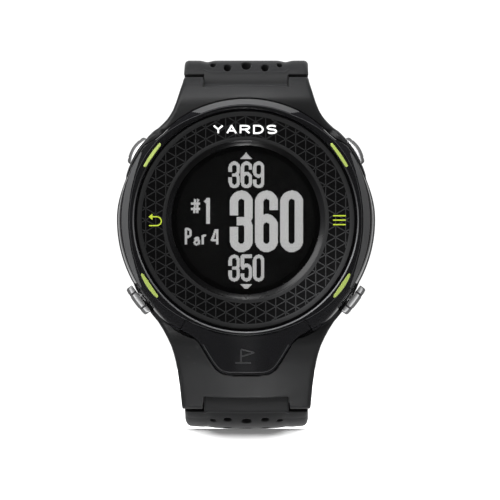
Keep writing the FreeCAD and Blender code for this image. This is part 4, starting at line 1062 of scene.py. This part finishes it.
# arrow at 9 o'clock: the bend of its shaft, then the ends of the shaft
BEND_X, BEND_Z, BEND_RADIUS = -15.762, -0.21312, 0.78144
SHAFT_TOP, SHAFT_LOW = BEND_Z + BEND_RADIUS, BEND_Z - BEND_RADIUS
ARROW_SHAFT = ([(-16.9164, SHAFT_TOP)]
               + arc(BEND_X, BEND_Z, BEND_RADIUS, BEND_RADIUS, 90, -90, 10)
               + [(-17.07624, SHAFT_LOW)])
ARROW_HEAD = [(-17.25384, SHAFT_TOP), (-16.54344, 1.13664), (-16.54344, 0.0)]
# three bars at 3 o'clock
BAR_ENDS = (15.53112, 17.75112)
BAR_ROWS = (0.76368, -0.01776, -0.83472)


def arrow_mask(X, Z):
    shaft = np.min([segment_distance(X, Z, a, b)
                    for a, b in zip(ARROW_SHAFT[:-1], ARROW_SHAFT[1:])], axis=0)
    return (shaft < LINE_WIDTH / 2) | (outline_distance(X, Z, ARROW_HEAD) < 0)


def bars_mask(X, Z):
    inked = np.zeros(np.broadcast(X, Z).shape, bool)
    for row in BAR_ROWS:
        inked |= (np.abs(Z - row) < LINE_WIDTH / 2) & (X > BAR_ENDS[0]) & (X < BAR_ENDS[1])
    return inked


add_print("print_back", arrow_mask, (-17.538, -14.5188), (-1.4208, 1.4208), PRINT_PITCH,
          PRINT_RISE, "print_lime", slot="lime_accent")
add_print("print_menu", bars_mask, (15.318, 17.982), (-1.2432, 1.2432), PRINT_PITCH,
          PRINT_RISE, "print_lime", slot="lime_accent")

# ------------------------------------------------------------------ display picture
DOTS = 180
DOT_PITCH = 24.4 / DOTS
LIT_RISE = 11.274


def washer(inner, outer, low, top):
    return [(inner, low), (outer, low), (outer, top), (inner, top)]


add_turned("lit_area", [(0.001, LIT_RISE - 0.012), (12.38, LIT_RISE - 0.012),
                        (12.38, LIT_RISE - 0.03), (12.38 - 0.03, LIT_RISE), (0.001, LIT_RISE)],
           ["pixel_off"], 160, sharp=35, slot="display")
for name, section in (("mask_ring", washer(12.40, 12.9, 11.290 - 0.03, 11.290)),
                      ("lens_mask", washer(12.35, 13.99, 11.592, 11.598))):
    add_turned(name, section, ["black_mask"], 200, sharp=30, slot="display")

# small figures above and below, a large figure between them, hole and par at the left
small_row = partial(text_row, x=-3.0636, pitch=2.16672, width=2.02464, height=4.77744,
                    stroke=0.60)
shown = small_row("369", z=5.64768) + small_row("350", z=-10.9224)
shown += text_row("360", x=-2.86824, z=-5.70096, pitch=4.47552, width=4.13808, height=10.94016,
                  stroke=1.48)
PAR_Z = -4.56432
shown += [  # char, left x, low z, width, height, stroke
    ("#", -9.9012, 0.99456, 2.00688, 2.91264, 0.36),
    ("1", -7.5924, -0.7104, 1.5984, 4.68864, 0.62),
    ("P", -10.878, PAR_Z, 1.29648, 3.16128, 0.42),
    ("a", -9.29736, PAR_Z, 1.13664, 1.98912, 0.38),
    ("r", -7.82328, PAR_Z, 0.94128, 1.98912, 0.38),
    ("4", -6.20712, PAR_Z, 1.49184, 3.16128, 0.40)]
POINTERS = ([(0.06216, 12.00576), (1.18104, 10.79808), (-1.05672, 10.79808)],
            [(0.06216, -12.432), (1.14552, -11.3664), (-1.0212, -11.3664)])
figures_mask = text_mask(shown)


def screen_mask(X, Z):
    lit = figures_mask(X, Z)
    for pointer in POINTERS:
        lit |= outline_distance(X, Z, pointer) < 0
    return lit & (X * X + Z * Z < 12.34 ** 2)


SCREEN = (-DOTS / 2 * DOT_PITCH, DOTS / 2 * DOT_PITCH)
add_print("lit_pixels", screen_mask, SCREEN, SCREEN, DOT_PITCH, 11.2745, "pixel_on",
          slot="display", thick=0.014, gap=0.016)

# ------------------------------------------------------------------ lime inserts
# middle: radius of the centre line; half, taper: half width and its loss towards the ends;
# slope, top: fall outwards and height of the upper face
UPPER_INSERT = dict(middle=20.5, half=0.52, taper=0.014, slope=0.28, top=13.47)
LOWER_INSERT = dict(middle=20.79, half=0.37, taper=0.026, slope=0.1, top=13.52)
INSERTS = [(34.8, UPPER_INSERT), (145.2, UPPER_INSERT), (214.3, LOWER_INSERT),
           (-34.3, LOWER_INSERT)]


def insert_field(x, y, z, angle, middle, half, taper, slope, top):
    rise = -y
    rad = np.sqrt(x * x + z * z)
    out, along = to_radial(x, z, angle)
    along = 20.5 * np.arctan2(along, out)
    over = rise + (rad - 20.4) * slope - top
    solid = meet(np.abs(rad - middle) - (half - taper * along * along),
                 np.abs(along) - 2.55, 0.3)
    return meet(solid, np.maximum(over * 0.95, 12.1 - rise), 0.08)


for i, (angle, shape) in enumerate(INSERTS):
    x, z = from_radial(20.4, 0, angle)
    margin = 2.6
    insert = add_solid("insert_%d" % i, partial(insert_field, angle=angle, **shape),
                       (x - margin, -13.8, z - margin), (x + margin, -11.9, z + margin),
                       0.08 if FINE else 0.12, ["lime"], slot="lime_accent")
    if i == 0:
        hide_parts("accent_inserts")

# ------------------------------------------------------------------ steel buttons
STEM_START = 16.95
SPRING_TURNS, SPRING_STEPS = 3, 40
SPRING_RADIUS = 1.38
WIRE_HALF_WIDTH, WIRE_HALF_THICK = 0.16, 0.05


def cap_field(x, y, z, angle, reach, shape):
    """Crowned face with a barrel section and grooves across it, on a necked stem."""
    rise = -y - BUTTON_RISE
    out, along = to_radial(x, z, angle)
    far = reach + shape.proud
    face = out - (far - shape.bend * along * along - shape.barrel * rise * rise)
    body = meet(np.abs(rise) - 1.58, face * 0.95, shape.corner)
    solid = meet(meet(body, np.abs(along) - shape.half, 0.3), (reach - 1.15) - out, 0.1)
    for place in shape.grooves:
        base = far - shape.bend * place * place
        groove = np.sqrt((along - place) ** 2 + (out - base - 0.02) ** 2) - 0.13
        solid = cut(solid, groove, 0.05)
    rad = np.sqrt(along * along + rise * rise)
    stem = np.maximum(rad - 0.9, slab(out, STEM_START, reach - 0.5))
    stem = np.maximum(stem, -np.maximum(0.6 - rad, slab(out, 17.46, 17.78)))
    stem = np.maximum(stem, -np.maximum(0.65 - rad, slab(out, reach - 3.45, reach - 2.75)))
    return np.minimum(solid, stem)


def paint_groove_shade(cap, angle, far, shape):
    """Darker steel, painted shade, in the grooves and, on the lower bars, on the strip between
    each pair.
    """
    mesh = cap.data
    centers = np.empty(len(mesh.polygons) * 3)
    mesh.polygons.foreach_get("center", centers)
    centers = centers.reshape(-1, 3) / MM
    out, along = to_radial(centers[:, 0], centers[:, 2], angle)
    dark = np.zeros(len(centers), bool)
    for place in shape.grooves:
        base = far - shape.bend * place * place
        dark |= (np.abs(along - place) < 0.17) & (out > base - 0.22)
    if shape is CAPS["lower"]:
        dark |= (np.abs(along) > 1.33) & (np.abs(along) < 1.67)
    mesh.polygons.foreach_set("material_index", dark.astype(np.int32))


def build_cap(name, angle, reach):
    shape = cap_shape(name)
    far = reach + shape.proud
    xs, zs = zip(*[from_radial(out, along, angle)
                   for out in (16.8, far + 0.2) for along in (-3, 3)])
    cap = add_solid("cap_" + name, partial(cap_field, angle=angle, reach=reach, shape=shape),
                    (min(xs) - 0.1, -BUTTON_RISE - 1.8, min(zs) - 0.1),
                    (max(xs) + 0.1, -BUTTON_RISE + 1.8, max(zs) + 0.1),
                    0.1 if FINE else 0.16, [shape.finish, "steel_dark"], refine=3,
                    body="button_" + name)
    paint_groove_shade(cap, angle, far, shape)
    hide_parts("button_cap_" + name)


def build_spring(name, angle, reach):
    """Return spring of flat wire round the stem, drawn at rest; the real one shortens as the
    button goes in.
    """
    low, high = reach - 2.36, reach - 1.19
    wide, thick = WIRE_HALF_WIDTH, WIRE_HALF_THICK
    steps = SPRING_TURNS * SPRING_STEPS
    verts, faces = [], []
    for i in range(steps + 1):
        turned = TAU * i / SPRING_STEPS
        # the first and last quarter turn lie flat
        climbed = np.clip((i / steps - 0.08) / 0.84, 0, 1)
        out = low + thick + (high - low - 2 * thick) * climbed
        for across, through in ((-wide, -thick), (wide, -thick), (wide, thick), (-wide, thick)):
            rad = SPRING_RADIUS + across
            x, z = from_radial(out + through, rad * math.cos(turned), angle)
            verts.append((x, -(BUTTON_RISE + rad * math.sin(turned)), z))
        if i:
            here, there = (i - 1) * 4, i * 4
            for e in range(4):
                after = (e + 1) % 4
                faces.append((here + e, here + after, there + after, there + e))
    faces += [(3, 2, 1, 0), tuple(steps * 4 + e for e in range(4))]
    spring = add_mesh("spring_" + name, verts, faces, ["steel_bar"], slot="button_steel",
                      sharp=40)
    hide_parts("button_spring_" + name)
    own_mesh(spring)


for button in BUTTONS:
    build_cap(*button)
    build_spring(*button)

# ------------------------------------------------------------------ strap halves
# Built straight and wrapped on their curves, given as (z, rise).
UPPER_END, UPPER_DIRECTION = (24.0, -26.0), (-0.42, -0.9075)
UPPER_CURVE = [(22.8, 4.6), (25.0, 4.1), (26.4, 2.5), (26.9, -0.7), (27.05, -5.0),
               (26.75, -11.0), (25.9, -18.0)]
UPPER_CURVE += [(UPPER_END[0] + UPPER_DIRECTION[0] * k, UPPER_END[1] + UPPER_DIRECTION[1] * k)
                for k in (0.0, 4.0, 8.0, 12.0, 16.0, 20.0, 24.0, 27.0)]
LOWER_CURVE = [(-29.8, 1.4), (-32.2, 0.5), (-34.2, -2.0), (-35.4, -5.4), (-35.95, -9.5),
               (-35.7, -15.0), (-34.6, -22.0), (-32.6, -30.0), (-29.6, -39.0), (-25.8, -47.5),
               (-21.2, -55.5), (-15.8, -63.0), (-9.7, -69.8), (-3.2, -75.6)]
ROOT_THICK, THIN_THICK = 3.4, 2.4
TONGUE_HALF_WIDTH = 7.52
# vent holes of one row: x, radius, shift along the strap
VENTS = ((0.0, 0.9, 0.0), (3.35, 0.7, -0.5), (-3.35, 0.7, -0.5), (5.95, 0.53, 0.15),
         (-5.95, 0.53, 0.15))
VENT_ROWS, VENT_PITCH = 5, 5.4
# radius about the lug pin kept clear for the ears, by angle from outwards towards the front
UPPER_CLEAR = ([-90, -60, -35, -20, 0, 15, 30, 45],
               [3.6, 3.7, 3.5, 3.12, 2.95, 3.05, 3.42, 4.15])
LOWER_CLEAR = ([-90, -40, -10, 5, 15, 40, 60], [4.3, 4.4, 4.35, 4.3, 4.5, 4.6, 4.62])


class Curve:
    """Natural cubic through (z, rise) points, measured by its length."""

    def __init__(self, points):
        knots = np.array(points, float)
        at = np.concatenate([[0], np.cumsum(np.linalg.norm(np.diff(knots, axis=0), axis=1))])
        count = len(knots)
        gap = np.diff(at)
        matrix = np.zeros((count, count))
        target = np.zeros((count, 2))
        matrix[0, 0] = matrix[-1, -1] = 1
        for i in range(1, count - 1):
            matrix[i, i - 1] = gap[i - 1]
            matrix[i, i] = 2 * (gap[i - 1] + gap[i])
            matrix[i, i + 1] = gap[i]
            target[i] = 6 * ((knots[i + 1] - knots[i]) / gap[i]
                             - (knots[i] - knots[i - 1]) / gap[i - 1])
        bend = np.linalg.solve(matrix, target)
        u = np.linspace(0, at[-1], 1200)
        k = np.clip(np.searchsorted(at, u, side="right") - 1, 0, count - 2)
        span = gap[k][:, None]
        left = (at[k + 1] - u)[:, None]
        done = (u - at[k])[:, None]
        self.points = ((bend[k] * left ** 3 + bend[k + 1] * done ** 3) / (6 * span)
                       + (knots[k] / span - bend[k] * span / 6) * left
                       + (knots[k + 1] / span - bend[k + 1] * span / 6) * done)
        steps = np.linalg.norm(np.diff(self.points, axis=0), axis=1)
        self.lengths = np.concatenate([[0], np.cumsum(steps)])
        self.total = self.lengths[-1]
        self.tangents = unit_rows(np.gradient(self.points, self.lengths, axis=0))

    def at(self, run):
        """Place and direction (z, rise, along z, along rise); straight beyond the ends."""
        run = np.asarray(run, float)
        z, rise, along_z, along_rise = (
            np.interp(run, self.lengths, column)
            for column in (*self.points.T, *self.tangents.T))
        length = np.sqrt(along_z * along_z + along_rise * along_rise)
        along_z, along_rise = along_z / length, along_rise / length
        over = np.where(run < 0, run, np.where(run > self.total, run - self.total, 0))
        return z + along_z * over, rise + along_rise * over, along_z, along_rise


def strap_wrap(curve, side, points, normals):
    """Bends straight (x, run, depth) onto the curve; side +1 has the outer face to its left."""
    z, rise, along_z, along_rise = curve.at(points[:, 1])
    out_z, out_rise = -along_rise * side, along_z * side
    depth = points[:, 2]
    bent = np.stack([points[:, 0], -(rise + out_rise * depth), z + out_z * depth], 1)
    turned = np.stack([normals[:, 0],
                       -(along_rise * normals[:, 1] + out_rise * normals[:, 2]),
                       along_z * normals[:, 1] + out_z * normals[:, 2]], 1)
    return bent, turned / np.maximum(np.linalg.norm(turned, axis=1, keepdims=True), 1e-9)


def cut_tip(solid, x, run, depth, top, total):
    """Round tip of the long half and its adjusting holes with moulded rims."""
    past = np.maximum(run - (total - 9.9), 0)
    tip_round = np.where(run > total - 9.9, np.sqrt(x * x + past * past) - 9.9, -5.0)
    solid = meet(solid, tip_round, 0.7)
    for i in range(8):
        center = 38.0 + 6.5 * i
        hole = np.sqrt(x * x + np.maximum(np.abs(run - center) - 0.55, 0) ** 2) - 1.05
        solid = cut(solid, hole, 0.22)
        rim = np.maximum(np.abs(hole - 0.55) - 0.18, np.abs(depth - top + 0.02) - 0.12)
        solid = np.minimum(solid, np.maximum(rim, depth - top - 0.12))
    return solid


def cut_buckle_end(solid, side_x, run, depth, total):
    """Knuckle of the short half round the buckle pin, with room for frame and prong."""
    from_pin = np.sqrt((run - total) ** 2 + depth * depth)
    solid = np.minimum(solid, meet(from_pin - 1.9, side_x - 9.4, 0.3))
    solid = np.maximum(solid, 0.82 - from_pin)
    solid = cut(solid, np.maximum(9.4 - side_x, slab(run, total - 2.6, total + 6)), 0.2)
    return cut(solid, np.maximum(side_x - 2.0, slab(run, total - 3.2, total + 4)), 0.2)


def strap_field(x, run, depth, curve, side, pin, clear, first_vent, ridge):
    """Straight strap half: side +1 is the short upper half, -1 the long lower one."""
    total = curve.total
    thinning = smoothstep_of_run(run)
    half = (ROOT_THICK + (THIN_THICK - ROOT_THICK) * thinning) / 2
    side_x = np.abs(x)
    z, level, along_z, along_rise = curve.at(run)
    pin_z = (z - along_rise * side * depth - pin[0]) * (1.0 if side > 0 else -1.0)
    pin_rise = level + along_z * side * depth - pin[1]
    rad = np.sqrt(pin_z * pin_z + pin_rise * pin_rise)
    angle = np.degrees(np.arctan2(pin_rise, pin_z))
    # width narrows away from the case
    width = np.interp(-level, [5.0, 27.0], [11.0, 9.9])
    width = width + 0.3 * np.clip(1 - run / 6.0, 0, 1) ** 2
    if side > 0:
        fade_out, valley_depth = np.clip((total - 6 - run) / 12.0, 0, 1), 1.0
    else:
        fade_out, valley_depth = np.clip((total - 4 - run) / 10.0, 0.25, 1), 0.45
    fade = np.clip((run - 2.6) / 3.0, 0, 1) * fade_out
    # outer face: a valley along each side
    valley = 0.27 * np.exp(-((side_x - 6.95) / 0.85) ** 2)
    top = half - valley * fade * valley_depth
    if side < 0:
        top = top - (0.62 * (side_x / 11.0) ** 2 * np.clip((run - 2.0) / 4.0, 0, 1)
                     * np.clip((34.0 - run) / 14.0, 0.15, 1))
    # fine ridge across the middle by the case, its ends turned away from the case
    ridge_run = ridge + 0.4 * np.clip((side_x - 6.4) / 1.1, 0, 1) ** 2
    top = top + (0.09 * np.exp(-((run - ridge_run) / 0.17) ** 2)
                 * np.clip((7.9 - side_x) / 0.5, 0, 1))
    bottom = -half + 0.12 * np.exp(-(x / 6.5) ** 4) * fade
    layer = np.maximum(depth - top, bottom - depth)
    # full width clear of the ears, tongue between them, knuckle round the pin
    wide = meet(meet(side_x - width, layer, 0.8),
                np.maximum(np.interp(angle, *clear) - rad, run - total), 0.2)
    wide = np.maximum(wide, 0.5 - run)
    tongue = meet(meet(side_x - TONGUE_HALF_WIDTH, layer, 0.22),
                  np.maximum(-run, run - 7.5), 0.2)
    knuckle = meet(rad - 2.1, side_x - TONGUE_HALF_WIDTH, 0.25)
    solid = np.minimum(np.minimum(wide, tongue), knuckle)
    solid = np.maximum(solid, 0.95 - rad)
    for i in range(VENT_ROWS):
        for vent_x, radius, shift in VENTS:
            center = first_vent + i * VENT_PITCH + shift
            hole = np.sqrt((x - vent_x) ** 2 + (run - center) ** 2) - radius
            solid = cut(solid, hole, 0.14)
    if side < 0:
        return cut_tip(solid, x, run, depth, top, total)
    return cut_buckle_end(solid, side_x, run, depth, total)


def smoothstep_of_run(run):
    """Share of the thinning reached, complete 26 mm from the lug pin."""
    return smoothstep(np.clip(run / 26.0, 0, 1))


def build_strap(part, points, side, pin, clear, first_vent, ridge, margin):
    curve = Curve(points)
    field = partial(strap_field, curve=curve, side=side, pin=pin, clear=clear,
                    first_vent=first_vent, ridge=ridge)
    return add_solid(part + "_skin", field, (-11.7, -2.6, -2.5),
                     (11.7, curve.total + margin, 2.5), 0.2 if FINE else 0.3, ["strap"],
                     warp=partial(strap_wrap, curve, side), flip=side < 0, body=part,
                     replaces=part, slot="strap_rubber")


build_strap("strap_upper", UPPER_CURVE, side=1, pin=UPPER_PIN, clear=UPPER_CLEAR,
            first_vent=4.0, ridge=2.6, margin=2.4)
lower_strap = build_strap("strap_lower", LOWER_CURVE, side=-1, pin=LOWER_PIN,
                          clear=LOWER_CLEAR, first_vent=6.4, ridge=3.6, margin=0.6)

# ------------------------------------------------------------------ edges of the CAD pieces
# bevel widths in millimetres
EDGE_WIDTHS = {
    "buckle_frame": 0.35, "free_keeper": 0.3, "fixed_keeper": 0.3, "back_cover": 0.12,
    "back_cover_screws": 0.05, "lug_screws": 0.08, "lug_pins": 0.06, "buckle_pin": 0.1,
    "battery": 0.35, "shield_can": 0.1, "board_chips": 0.08, "gps_patch_antenna": 0.15,
    "vibration_motor": 0.15,
}
for name, width in EDGE_WIDTHS.items():
    piece = frame["nodes"][name]
    weld = piece.modifiers.new("merge", "WELD")
    weld.merge_threshold = 1e-7
    bevel = piece.modifiers.new("edge", "BEVEL")
    bevel.width = width * MM
    bevel.segments = 2
    bevel.limit_method = "ANGLE"
    bevel.angle_limit = math.radians(35)
    bevel.harden_normals = True
    piece.data.polygons.foreach_set("use_smooth", np.ones(len(piece.data.polygons), bool))

# ------------------------------------------------------------------ floor, in metres
# The sheet starts close under the front of the watch, falls gently towards the viewer and
# drops away behind, clear of the swinging strap.
FLOOR_Z = -37.2 * MM
FRONT_FALL = math.tan(math.radians(12.0))
# (y, drop below FLOOR_Z)
FLOOR_PROFILE = [(-3.0, 3.0 * FRONT_FALL), (-0.0005, 0), (0.0006, 0.0006), (0.0035, 0.0030),
                 (0.008, 0.0085), (0.015, 0.0135), (0.028, 0.0190), (0.05, 0.0220),
                 (0.09, 0.0230), (4.0, 0.0230)]
floor_mesh = bpy.data.meshes.new("floor")
floor_mesh.from_pydata([(x, y, FLOOR_Z - drop) for y, drop in FLOOR_PROFILE for x in (-4, 4)], [],
                       [(2 * i, 2 * i + 1, 2 * i + 3, 2 * i + 2)
                        for i in range(len(FLOOR_PROFILE) - 1)])
floor = bpy.data.objects.new("floor", floor_mesh)
bpy.context.scene.collection.objects.link(floor)
surface("floor_pale", color=(0.90, 0.90, 0.90), rough=0.7, spec=0.2, bump=0.02, grain=800,
        vary=0.003)
floor_mesh.materials.append(MAT["floor_pale"])
floor.visible_glossy = False
floor.visible_shadow = False


# ------------------------------------------------------------------ world
def build_world():
    """White surroundings; reflections see a dark room in front and a pale sweep behind."""
    world = bpy.data.worlds.new("studio")
    bpy.context.scene.world = world
    world.use_nodes = True
    tree = world.node_tree
    tree.nodes.clear()
    node = partial(add_node, tree)

    def background(strength):
        return node("Background", {"Color": (1, 1, 1, 1), "Strength": strength})

    ray = node("LightPath")
    axes = node("SeparateXYZ", {0: node("TexCoord").outputs["Generated"]})
    sweep = node("MapRange", {"Value": axes.outputs["Y"], "From Min": 0.72, "From Max": 0.98,
                              "To Min": 0.06, "To Max": 0.95}, interpolation_type="SMOOTHSTEP")
    lit = node("MixShader", {"Fac": ray.outputs["Is Glossy Ray"], 1: background(0.48),
                             2: background(sweep)})
    seen = node("MixShader", {"Fac": ray.outputs["Is Camera Ray"], 1: lit,
                              2: background(1.0)})
    node("OutputWorld", {"Surface": seen})


build_world()

# ------------------------------------------------------------------ lights, in metres
DIAL_CENTER = (0, 0, -0.004)
# name, degrees round the dial from 3 o'clock, degrees from the viewer's axis, distance,
# width, height, power, seen in reflections
LAMPS = [
    ("key_left", 142, 57, 0.6, 0.5, 0.42, 1.9, True),
    ("top", 90, 86, 0.5, 0.4, 0.2, 9.0, False),
    ("below", 270, 80, 0.5, 0.12, 0.1, 3.0, False),
    ("fill_right", 10, 80, 0.6, 0.3, 0.4, 0.6, False),
    ("fill_left", 172, 85, 0.6, 0.3, 0.4, 0.4, False),
    # small boxes whose soft reflections lie on the middle of the two hoods
    ("over", 90, 52, 0.5, 0.1, 0.08, 0.5, True),
    ("under", 270, 74, 0.5, 0.08, 0.08, 0.3, True),
]


def add_light(name, kind, energy):
    data = bpy.data.lights.new(name, kind)
    data.energy = energy
    lamp = bpy.data.objects.new(name, data)
    bpy.context.scene.collection.objects.link(lamp)
    return lamp


def collection_of(name, member):
    group = bpy.data.collections.new(name)
    group.objects.link(member)
    return group


def aim_at(thing, target):
    toward = Vector(target) - Vector(thing.location)
    thing.rotation_euler = toward.to_track_quat("-Z", "Y").to_euler()


for name, round_dial, off_axis, distance, width, height, power, reflected in LAMPS:
    lamp = add_light(name, "AREA", power)
    lamp.data.shape = "RECTANGLE"
    lamp.data.size = width
    lamp.data.size_y = height
    a, q = math.radians(round_dial), math.radians(off_axis)
    lamp.location = (distance * math.sin(q) * math.cos(a), -distance * math.cos(q),
                     distance * math.sin(q) * math.sin(a) + DIAL_CENTER[2])
    aim_at(lamp, DIAL_CENTER)
    lamp.visible_glossy = reflected

# broad overhead light on the sheet alone, for the soft shadow under the strap
sun = add_light("overhead", "SUN", 6.8)
sun.data.angle = math.radians(60)
sun.rotation_euler = (math.radians(-35), 0, 0)
sun.light_linking.receiver_collection = collection_of("sheet_only", floor)
sun.light_linking.blocker_collection = collection_of("strap_only", lower_strap)
# the other lights leave the sheet alone
not_sheet = collection_of("not_sheet", floor)
not_sheet.collection_objects[0].light_linking.link_state = "EXCLUDE"
for lamp in bpy.context.scene.objects:
    if lamp.type == "LIGHT" and lamp != sun:
        lamp.light_linking.receiver_collection = not_sheet

# ------------------------------------------------------------------ camera, in metres
CAMERA_DISTANCE = 2.5
CAMERA_TURN = math.radians(0.5)
VIEW_WIDTH = 0.0888
SENSOR_WIDTH = 36.0
camera_data = bpy.data.cameras.new("camera")
camera_data.sensor_width = SENSOR_WIDTH
camera_data.lens = SENSOR_WIDTH * CAMERA_DISTANCE / VIEW_WIDTH
camera_data.clip_start = 0.01
camera_data.clip_end = 60
camera = bpy.data.objects.new("camera", camera_data)
bpy.context.scene.collection.objects.link(camera)
aim = Vector((0.755 * MM, -12.5 * MM, -5.33 * MM))
view_axis = Vector((math.sin(CAMERA_TURN), -math.cos(CAMERA_TURN), 0.0))
camera.location = aim + view_axis * CAMERA_DISTANCE
aim_at(camera, aim)
bpy.context.scene.camera = camera
bpy.context.scene.view_settings.exposure = 0.2
bpy.context.scene.view_settings.view_transform = "Standard"
